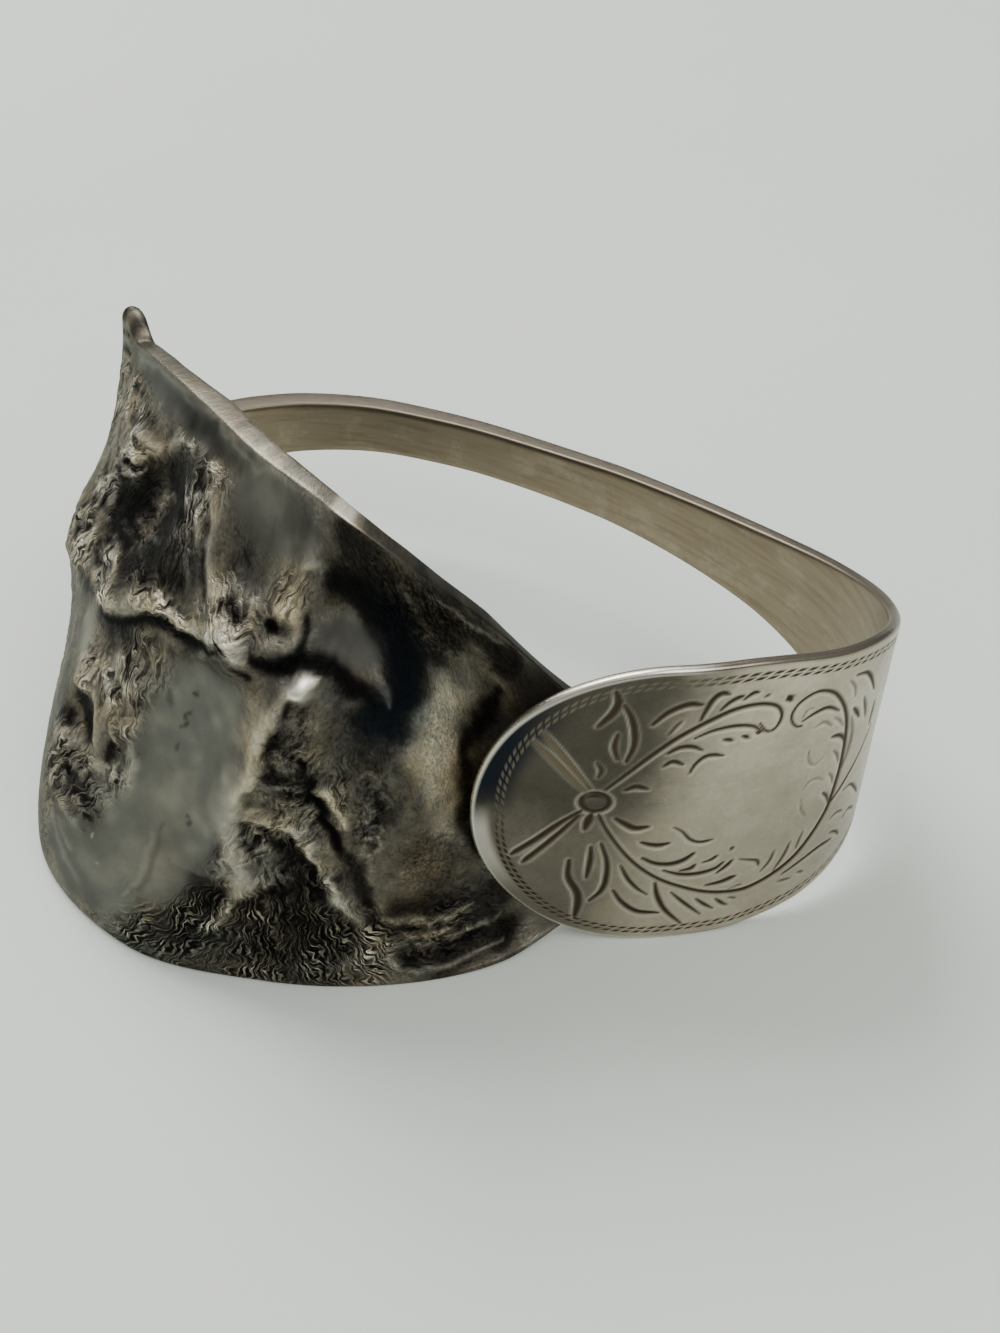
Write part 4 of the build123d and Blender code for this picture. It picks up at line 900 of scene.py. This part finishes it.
def around(outer, rim, inner, foot):
    """Values on the outer face, rim, inner face and foot side by side, each a number, a column or a grid."""
    bands = zip((outer, rim, inner, foot), (OUTER_ROWS, EDGE_ROWS, INNER_ROWS, EDGE_ROWS))
    return np.concatenate([np.broadcast_to(band, (BOWL_COLUMNS, rows)) for band, rows in bands], axis=1)


def make_bowl(material):
    """Closed shield: outer face with the relief, rolled rim, inner face with half of the swells, rolled foot.
    The faces stop short of the rim and the foot by a small margin, which the arcs fill."""
    along = np.concatenate([np.linspace(0, 0.2, 50, endpoint=False),
                            np.linspace(0.2, 0.87, 380, endpoint=False),
                            np.linspace(0.87, 1.0, BOWL_COLUMNS - 430)])
    column = along[:, None]
    outer_up = np.linspace(0, 1, OUTER_ROWS)
    inner_up = np.linspace(1, 0, INNER_ROWS)
    swell, relief, droop, tone, ridged, grainy, flow = bowl_relief(along, outer_up)
    hollow = 0.22 * (relief - blurred(relief, 6)) + 0.7 * (relief - blurred(relief, 2))
    tone += np.clip(hollow, -0.16, 0.20)
    tone += 0.22 * (1 - soft_step(column, 0.0, 0.06))
    ridged *= soft_step(column, 0.02, 0.09)
    rim_tone, rim_share = values_at(RIM, along).T[:, :, None]
    wall = NECK_THICKNESS + (BOWL_WALL - NECK_THICKNESS) * np.clip(column / 0.10, 0, 1)
    wall = wall * np.maximum(np.sqrt(1 - np.clip((column - 0.987) / 0.013, 0, 1)**2), 0.25)
    wall = wall * (1 + (rim_share - 1) * inner_up**4)

    outer, out = plain_bowl(along, outer_up)
    inner, _ = plain_bowl(along, inner_up)
    low = outer[:, :1, 2].copy()
    shrink = 1 - (RIM_MARGIN + FOOT_MARGIN) / (outer[:, -1:, 2] - low)
    x, y = np.meshgrid(along * BOWL_LENGTH, inner_up * BOWL_HEIGHT, indexing="ij")
    inner_swell = np.stack([np.interp(inner_up, outer_up, row) for row in swell])
    outer_push = swell + relief + 0.15 * horn_lift(along, outer_up)
    inner_push = 0.5 * inner_swell - wall + 0.12 * sway(x, y, 2.5, 91)
    dome = 0.32 * horn_lift(along, np.ones(1))
    for face, up, push, sag in ((outer, outer_up, outer_push, 0.5 * droop), (inner, inner_up, inner_push, 0)):
        face[..., 2] = low + FOOT_MARGIN + (face[..., 2] - low) * shrink - sag - dome * up**12
        face[..., :2] += out[:, None] * push[..., None]
    curl = np.exp(-((column - HORN_PLACE) * BOWL_LENGTH / 1.8)**2)
    rim = rolled(outer[:, -1], inner[:, 0], RIM_MARGIN + dome, 0.55 + 0.45 * curl)
    foot = rolled(inner[:, -1], outer[:, 0], -FOOT_MARGIN, 0.8)
    points = np.concatenate([outer, rim, inner, foot], axis=1)

    arc_place = np.linspace(0.2, 1.4, EDGE_ROWS)
    level = around(outer_up * BOWL_HEIGHT, BOWL_HEIGHT + arc_place, y + BOWL_SHIFT, -arc_place)
    spot = column * BOWL_LENGTH
    stripes = np.sin(spot * 7.0 + np.linspace(0, 3.0, EDGE_ROWS))
    rim_tone = rim_tone + 0.10 * sway(spot, 0 * spot, 1.2, 95) + 0.20 * curl * (stripes - 0.1)
    foot_tone = 0.334 + 0.34 * sway(spot, 0 * spot, 0.9, 97)
    inner_tone = 0.425 + 0.25 * sway(x, y, 6.0, 93)
    a, u = np.meshgrid(along, outer_up, indexing="ij")
    navy_reflection, brown = (around(sum(row[4] * hill(a, u, row) for row in rows), 0, 0, 0)
                   for rows in (NAVY_REFLECTIONS, BROWN_TINTS))
    # the tone in the finish carries the patina together with painted shadows, highlights and reflections
    attributes = {
        "place": (spot + 0 * level, level, 0 * level),
        "finish_and_painted_light": (around(tone, rim_tone, inner_tone, foot_tone), around(ridged, 0.0, 0.15, 0.5),
                   around(grainy, 0.3, 0.5, 0.5)),
        "flow": [around(part, part[:, -1:], 0.7, part[:, :1]) for part in flow],
        "tint": (navy_reflection, brown, 0 * navy_reflection)}
    attributes = {name: np.stack(three, axis=2) for name, three in attributes.items()}
    return new_piece("melted_bowl", points, attributes, material)


class Number:
    """Number that a shader node gives out. A sign such as + or * between numbers makes a Math node."""

    def __init__(self, socket):
        self.socket = socket
        self.tree = socket.id_data

    def maths(self, operation, other=0.0, turned=False):
        """Math node of this number and another, the other one first where turned."""
        pair = (other, self) if turned else (self, other)
        return Number(add(self.tree, "ShaderNodeMath", dict(enumerate(pair)), operation=operation).outputs[0])

    def clamped(self):
        """The same number, kept from 0 to 1 by the Math node that makes it."""
        self.socket.node.use_clamp = True
        return self

    def __add__(self, other):
        return self.maths("ADD", other)

    def __sub__(self, other):
        return self.maths("SUBTRACT", other)

    def __rsub__(self, other):
        return self.maths("SUBTRACT", other, turned=True)

    def __mul__(self, other):
        return self.maths("MULTIPLY", other)

    def __truediv__(self, other):
        return self.maths("DIVIDE", other)

    def __rtruediv__(self, other):
        return self.maths("DIVIDE", other, turned=True)

    def __abs__(self):
        return self.maths("ABSOLUTE")

    __radd__ = __add__


def feed(value, socket):
    """Set an input to a plain value, or link it to a number or to another node's output."""
    if isinstance(value, Number):
        value = value.socket
    if isinstance(value, bpy.types.NodeSocket):
        socket.id_data.links.new(value, socket)
    else:
        socket.default_value = value


def add(tree, kind, values=None, **settings):
    """New node with its settings and its inputs fed."""
    made = tree.nodes.new(kind)
    for key, value in settings.items():
        setattr(made, key, value)
    for key, value in (values or {}).items():
        feed(value, made.inputs[key])
    return made


def vector_maths(operation, values, output="Vector"):
    """Output of one Vector Math node, whose first input is another node's output."""
    return add(values[0].id_data, "ShaderNodeVectorMath", values, operation=operation).outputs[output]


def stretched(place, angle, sizes):
    """Place turned by an angle about Z and drawn out by three sizes."""
    return add(place.id_data, "ShaderNodeMapping", {"Vector": place, "Rotation": (0, 0, angle), "Scale": sizes},
               vector_type="TEXTURE").outputs[0]


def parts(vector):
    """The three numbers of a vector."""
    return [Number(part) for part in add(vector.id_data, "ShaderNodeSeparateXYZ", {0: vector}).outputs]


def noise(place, scale, detail, roughness=0.5, distortion=0.0):
    """Noise from 0 to 1 at a place."""
    return Number(add(place.id_data, "ShaderNodeTexNoise",
                      {"Vector": place, "Scale": scale, "Detail": detail, "Roughness": roughness,
                       "Distortion": distortion}).outputs[0])


def rise(value, low, high, start=0.0, end=1.0, kind="LINEAR"):
    """Number that goes from start to end while the value goes from low to high, and stays there beyond."""
    return Number(add(value.tree, "ShaderNodeMapRange",
                      {"Value": value, "From Min": low, "From Max": high, "To Min": start, "To Max": end},
                      interpolation_type=kind).outputs[0])


def smooth_rise(value, low, high):
    """Nought below low, one above high, and a smooth rise between; a fall where low is the larger."""
    turned = low > high
    return rise(value, min(low, high), max(low, high), float(turned), 1.0 - turned, "SMOOTHSTEP")


def ramp(value, stops):
    """Colour ramp over a number, with stops of place and colour."""
    made = add(value.tree, "ShaderNodeValToRGB", {0: value})
    elements = made.color_ramp.elements
    while len(elements) < len(stops):
        elements.new(0.5)
    for element, (spot, colour) in zip(elements, stops):
        element.position = spot
        element.color = (*colour, 1)
    return made.outputs[0]


def blend_colours(share, one, two, kind="MIX"):
    """Mix of two colours, each a tuple or another node's output, by a share that is kept from 0 to 1."""
    one, two = ((*colour, 1) if isinstance(colour, tuple) else colour for colour in (one, two))
    mix = add(share.tree, "ShaderNodeMix", {0: share, 6: one, 7: two}, data_type="RGBA", blend_type=kind)
    return mix.outputs[2]


def new_group(name, inputs, outputs):
    """Empty shader node group with named inputs and outputs, and its two end nodes."""
    group = bpy.data.node_groups.new(name, "ShaderNodeTree")
    for title, kind in inputs:
        group.interface.new_socket(name=title, in_out="INPUT", socket_type=kind)
    for title, kind in outputs:
        group.interface.new_socket(name=title, in_out="OUTPUT", socket_type=kind)
    return group, group.nodes.new("NodeGroupInput").outputs, group.nodes.new("NodeGroupOutput").inputs


def use_group(tree, group, values):
    """Numbers that a node group gives out in a tree, in the order of its outputs."""
    return [Number(socket) for socket in add(tree, "ShaderNodeGroup", values, node_tree=group).outputs]


def fine_ridges_group():
    """Hair-fine ridges: crests of noise stretched along the flow, from four directions weighed by how well each
    meets it, and in even ground short wave trains across the flow. The place and the direction are swayed by
    slower noise, which also thins the ridges out in patches. The flow is the cosine and sine of twice its
    angle, counted from FLOW_START, and its third part is the share of wave trains. Grain is bubbly noise."""
    group, given, made = new_group(
        "fine ridges",
        [("Place", "NodeSocketVector"), ("Flow", "NodeSocketVector"), ("Spacing", "NodeSocketFloat")],
        [("Ridge", "NodeSocketFloat"), ("Grain", "NodeSocketFloat")])
    flow_x, flow_y, train_share = parts(given["Flow"])
    slow = noise(given["Place"], 0.55, 2.0)
    bent = vector_maths("SUBTRACT", {0: slow.socket.node.outputs["Color"], 1: (0.5, 0.5, 0.5)})
    bent = vector_maths("MULTIPLY_ADD", {0: bent, 1: (2.4, 2.4, 0.0), 2: given["Place"]})
    angle = flow_y.maths("ARCTAN2", flow_x) * 0.5 + (slow - 0.5) * 2.0 + math.radians(FLOW_START + 90)
    spaced = vector_maths("SCALE", {0: bent, 3: 1.0 / Number(given["Spacing"])})
    trains = 0.0
    for scale, share in ((0.42, 0.60), (0.95, 0.40)):
        train = add(group, "ShaderNodeTexGabor", {"Vector": spaced, "Scale": scale, "Frequency": 2.4,
                                                  "Anisotropy": 0.92, "Orientation": angle}, gabor_type="2D")
        trains += Number(train.outputs["Value"]) * share
    trains = rise(trains, 0.42, 0.66)
    crests, weights = 0.0, 0.001
    for degrees in (15, 60, 105, 150):
        double = 2 * math.radians(degrees - FLOW_START)
        way = (math.cos(double), math.sin(double), 0.0)
        meets = Number(vector_maths("DOT_PRODUCT", {0: given["Flow"], 1: way}, "Value"))
        weight = meets.maths("MAXIMUM", 0.02).maths("POWER", 1.6)
        middle = noise(stretched(bent, math.radians(degrees), (2.6, 0.60, 1.0)), 1.0, 4.0, 0.58, 0.35) - 0.5
        crests += (1.0 - abs(middle) * 8.0).clamped() * weight
        weights += weight
    crests = crests / weights
    ridge = crests + (trains - crests) * train_share
    feed((ridge - 0.42) * rise(slow, 0.36, 0.60, 0.35, 1.15) + 0.42, made["Ridge"])
    feed(noise(given["Place"], 2.6, 5.0, 0.66, 0.5), made["Grain"])
    return group


def tarnish_group():
    """Tarnish from 0 to 1: blotches of noise, and streaks of noise drawn out along the piece."""
    group, given, made = new_group("tarnish", [("Place", "NodeSocketVector"), ("Size", "NodeSocketFloat")],
                                   [("Blotch", "NodeSocketFloat"), ("Streak", "NodeSocketFloat")])
    scaled = vector_maths("SCALE", {0: given["Place"], 3: 1.0 / Number(given["Size"])})
    feed(noise(scaled, 1.0, 5.0, 0.62, 0.4), made["Blotch"])
    feed(noise(stretched(scaled, 0.04, (1.6, 0.16, 1.0)), 1.0, 3.0, 0.6), made["Streak"])
    return group


def attribute(tree, name):
    """Vector of a piece's own attribute, and its three parts."""
    vector = add(tree, "ShaderNodeAttribute", attribute_type="GEOMETRY", attribute_name=name).outputs["Vector"]
    return vector, parts(vector)


def new_material(name):
    """Material with one Principled shader, and its tree and shader."""
    material = bpy.data.materials.new(name)
    material.use_nodes = True
    tree = material.node_tree
    return material, tree, tree.nodes["Principled BSDF"]


def dress(shader, colour, roughness, height, distance):
    """Feed a colour, a roughness and bumps with a distance in metres to a shader."""
    bump = add(shader.id_data, "ShaderNodeBump", {"Height": height, "Strength": 1.0, "Distance": distance})
    feed(colour, shader.inputs["Base Color"])
    feed(roughness, shader.inputs["Roughness"])
    feed(bump.outputs[0], shader.inputs["Normal"])


def oxidised_silver(ridges, tarnish):
    """Dark sulphide in the hollows, rubbed silver on the crests, satin grey in the pools, with the painted
    light and shade of the tone and a painted navy reflection in the dark valley.
    """
    material, tree, shader = new_material("oxidised melted silver")
    place, _ = attribute(tree, "place")
    flow, (_, _, train_share) = attribute(tree, "flow")
    _, (tone, ridged, grainy) = attribute(tree, "finish_and_painted_light")
    _, (navy_reflection, ruddy, _) = attribute(tree, "tint")
    ridge, grain = use_group(tree, ridges, {"Place": place, "Flow": flow, "Spacing": 0.52})
    blotch, _ = use_group(tree, tarnish, {"Place": place, "Size": 5.0})
    crest = (ridge - 0.40) * ridged
    grain = (grain - 0.5) * grainy
    blotch = blotch - 0.5
    change = crest * (0.84 + train_share * 0.25) + grain * 1.15 + blotch * 0.20
    worn = tone + change * (tone + 0.45).clamped()
    colour = ramp(worn, [(0.0, (0.003, 0.003, 0.003)), (0.10, (0.009, 0.0085, 0.008)),
                         (0.20, (0.030, 0.028, 0.024)), (0.40, (0.122, 0.118, 0.100)),
                         (0.60, (0.30, 0.283, 0.228)), (0.80, (0.56, 0.53, 0.43)), (1.0, (0.88, 0.85, 0.74))])
    smooth = (1.0 - grainy * 3.0).clamped()
    brown = ((blotch + 0.10) * 4.0).clamped() * (1.0 - smooth)
    # tints of brown tarnish and smooth ground, then the painted navy reflection in the dark valley, darkened
    # below too
    for share, tint in ((brown, (1.0, 0.90, 0.76)), (smooth, (0.98, 1.0, 1.03)), (ruddy, (1.03, 0.96, 0.86)),
                        (navy_reflection, (0.60, 0.85, 1.15))):
        colour = blend_colours(share, colour, tint, "MULTIPLY")
    colour = blend_colours(navy_reflection * 0.4, colour, (0.006, 0.010, 0.015))
    dress(shader, colour, 0.34 + ridged * 0.12 + grainy * 0.14, crest + grain * 0.9, 0.00018)
    shader.inputs["Metallic"].default_value = 0.85
    shader.inputs["Specular IOR Level"].default_value = 0.15
    shader.inputs["Specular Tint"].default_value = (0.5, 0.5, 0.5, 1)
    return material


def wriggle_border(run, margin, on):
    """Double row of short slanted cuts along the edge: how deep, from 0 to 1. Each row is a band at its own
    distance from the edge, further in at the tip, broken into dashes by a slanted wave along it."""
    tip = (1.0 - abs(run) * 0.07).clamped()
    total = 0.0
    for spot, shift in ((1.30, 0.0), (0.90, 0.4)):
        from_row = margin - spot - tip
        band = (1.0 - abs(from_row) * 5.3).clamped()
        wave = ((run + from_row * 1.6 + shift) * (2 * math.pi / DASH_SPACING)).maths("SINE")
        total += band * ((wave + 0.60) * 2.6).clamped()
    return (total * on).clamped()


def pale_silver(tarnish):
    """Worn bright silver: soft blotches and streaks of light tarnish, a broad painted dark reflection over the
    upper part of the round end with a navy patch near the edge of the tip, a painted pale reflection along the
    edge of the tip below the middle and a painted highlight along the edge near the tip, dark brown in the cuts
    with a painted highlight beside them, browner inside."""
    material, tree, shader = new_material("pale worn silver")
    place, (inward, level, _) = attribute(tree, "place")
    _, (dark, inside, cut_highlight) = attribute(tree, "finish_and_painted_light")
    _, (run, margin, on) = attribute(tree, "border")
    border = wriggle_border(run, margin, on)
    blotch, streak = use_group(tree, tarnish, {"Place": place, "Size": 4.0})
    blotch = blotch - 0.5
    grain = noise(place, 1.6, 6.0, 0.7)
    outside = (1.0 - inside).clamped()
    # painted dark reflection over the round end near the tip, darker still above the middle line
    dark_reflection = smooth_rise(inward + blotch * 8.0 - level * 0.22, 16.5, 9.0) * outside
    upper_dark_reflection = dark_reflection * smooth_rise(level + blotch * 5.0, -3.5, 2.5)
    lit = (1.0 - dark_reflection * 0.68) * (1.0 - upper_dark_reflection * 0.62)
    browned = ((blotch + 0.15) * 1.6 + (grain - 0.5) * 0.8).clamped()
    browned = (browned + inside * 0.80).clamped()
    streaky = (streak - 0.44) * inside * 1.8
    # navy patch of the painted dark reflection near the edge of the tip, above the middle
    deep = (smooth_rise(margin, 3.4, 1.6) * upper_dark_reflection * smooth_rise(level, -1.5, 3.5)
            * smooth_rise(inward, 8.0, 2.5))
    # painted pale reflection along the edge of the tip, below the middle
    pale_edge_reflection = (smooth_rise(margin, 1.6, 0.9) * dark_reflection * smooth_rise(level, 1.6, -1.4)
                * smooth_rise(level, -8.0, -3.5))
    away = smooth_rise(inward, 20.0, 31.0) * outside
    near_edge = (1.0 - margin * 2.5).clamped()
    near_tip = smooth_rise(inward, 17.0, 13.0)
    groove = border * (1.0 - upper_dark_reflection * 0.8)
    cut = (dark.maths("MAXIMUM", groove) * 1.25).clamped()
    crossed = smooth_rise(inward, 8.8, 7.6) * smooth_rise(level, 1.8, 2.6)
    bottom = blend_colours(crossed, (0.050, 0.034, 0.022), (0.145, 0.118, 0.078))
    colour = blend_colours(browned, (0.52, 0.470, 0.372), (0.30, 0.247, 0.170))
    # mixes: tarnish streaks inside, the painted dark reflection, its navy patch, the painted pale reflection, a
    # darker stem, darker edges away from the tip, a painted highlight along the edge near the tip, the painted
    # highlight beside the cuts, a lighter border inside the painted dark reflection, and the cut bottoms
    for share, tint in (
            (streaky, (0.17, 0.125, 0.078)), (1.0 - lit, (0.012, 0.010, 0.008)),
            (deep * 0.95, (0.005, 0.008, 0.014)), (pale_edge_reflection * 0.9, (0.52, 0.50, 0.43)),
            (away * 0.35, (0.18, 0.15, 0.11)),
            (near_edge * (0.95 - near_tip).clamped(), (0.15, 0.130, 0.098)),
            (near_edge * near_tip * outside, (0.86, 0.83, 0.73)),
            (cut_highlight * (0.62 - upper_dark_reflection * 0.25), (0.78, 0.73, 0.60)),
            (border * upper_dark_reflection * 0.30, (0.34, 0.30, 0.23)), (cut, bottom)):
        colour = blend_colours(share, colour, tint)
    dress(shader, colour, 0.24 + browned * 0.16 + cut * 0.25, (grain + streak) * 0.12 - groove, 0.00007)
    shader.inputs["Metallic"].default_value = 0.96
    return material


def make_floor():
    """Wide pale sheet under the bracelet."""
    mesh = bpy.data.meshes.new("floor")
    side = 2.5
    corners = [(-side, -side, 0), (side, -side, 0), (side, side, 0), (-side, side, 0)]
    mesh.from_pydata(corners, [], [(0, 1, 2, 3)])
    floor = bpy.data.objects.new("floor", mesh)
    bpy.context.scene.collection.objects.link(floor)
    material, tree, shader = new_material("pale paper")
    soft = noise(add(tree, "ShaderNodeTexCoord").outputs["Object"], 14.0, 3.0)
    feed(blend_colours(soft, (0.67, 0.715, 0.66), (0.75, 0.795, 0.73)), shader.inputs["Base Color"])
    shader.inputs["Roughness"].default_value = 0.75
    mesh.materials.append(material)


def make_sky():
    """Soft studio light from all round, brighter from above."""
    world = bpy.data.worlds.new("soft studio")
    bpy.context.scene.world = world
    world.use_nodes = True
    tree = world.node_tree
    _, _, up = parts(add(tree, "ShaderNodeTexCoord").outputs["Generated"])
    sky = ramp(rise(up, -0.1, 0.9), [(0.0, (0.16, 0.15, 0.14)), (0.25, (0.26, 0.25, 0.24)),
                                     (0.55, (0.62, 0.63, 0.62)), (1.0, (0.95, 0.97, 0.96))])
    feed(sky, tree.nodes["Background"].inputs["Color"])
    tree.nodes["Background"].inputs["Strength"].default_value = 0.80


def make_light(name, place, turn, size, power):
    """Square lamp with a side in metres, turned by degrees about X, Y and Z."""
    lamp = bpy.data.lights.new(name, "AREA")
    lamp.shape = "SQUARE"
    lamp.size = size
    lamp.energy = power
    light = bpy.data.objects.new(name, lamp)
    light.location = place
    light.rotation_euler = [math.radians(angle) for angle in turn]
    bpy.context.scene.collection.objects.link(light)


def make_camera():
    """Camera in front and above, with the photo's field of view."""
    lens = bpy.data.cameras.new("camera")
    lens.sensor_width = 36
    lens.lens = 1400 / 1333 * lens.sensor_width
    lens.clip_start = 0.005
    camera = bpy.data.objects.new("camera", lens)
    camera.location = (0.004, -0.090, 0.0855)
    camera.rotation_euler = (math.radians(48.5), 0, 0)
    bpy.context.scene.collection.objects.link(camera)
    bpy.context.scene.camera = camera


TARNISH = tarnish_group()
make_handle(pale_silver(TARNISH))
make_bowl(oxidised_silver(fine_ridges_group(), TARNISH))
make_floor()
make_sky()
make_light("window light", (-0.35, 0.45, 0.75), (-38, -24, 0), 0.55, 8.4)
make_light("fill light", (0.30, -0.45, 0.70), (35, 22, 0), 0.50, 3.2)
make_camera()
bpy.context.view_layer.update()
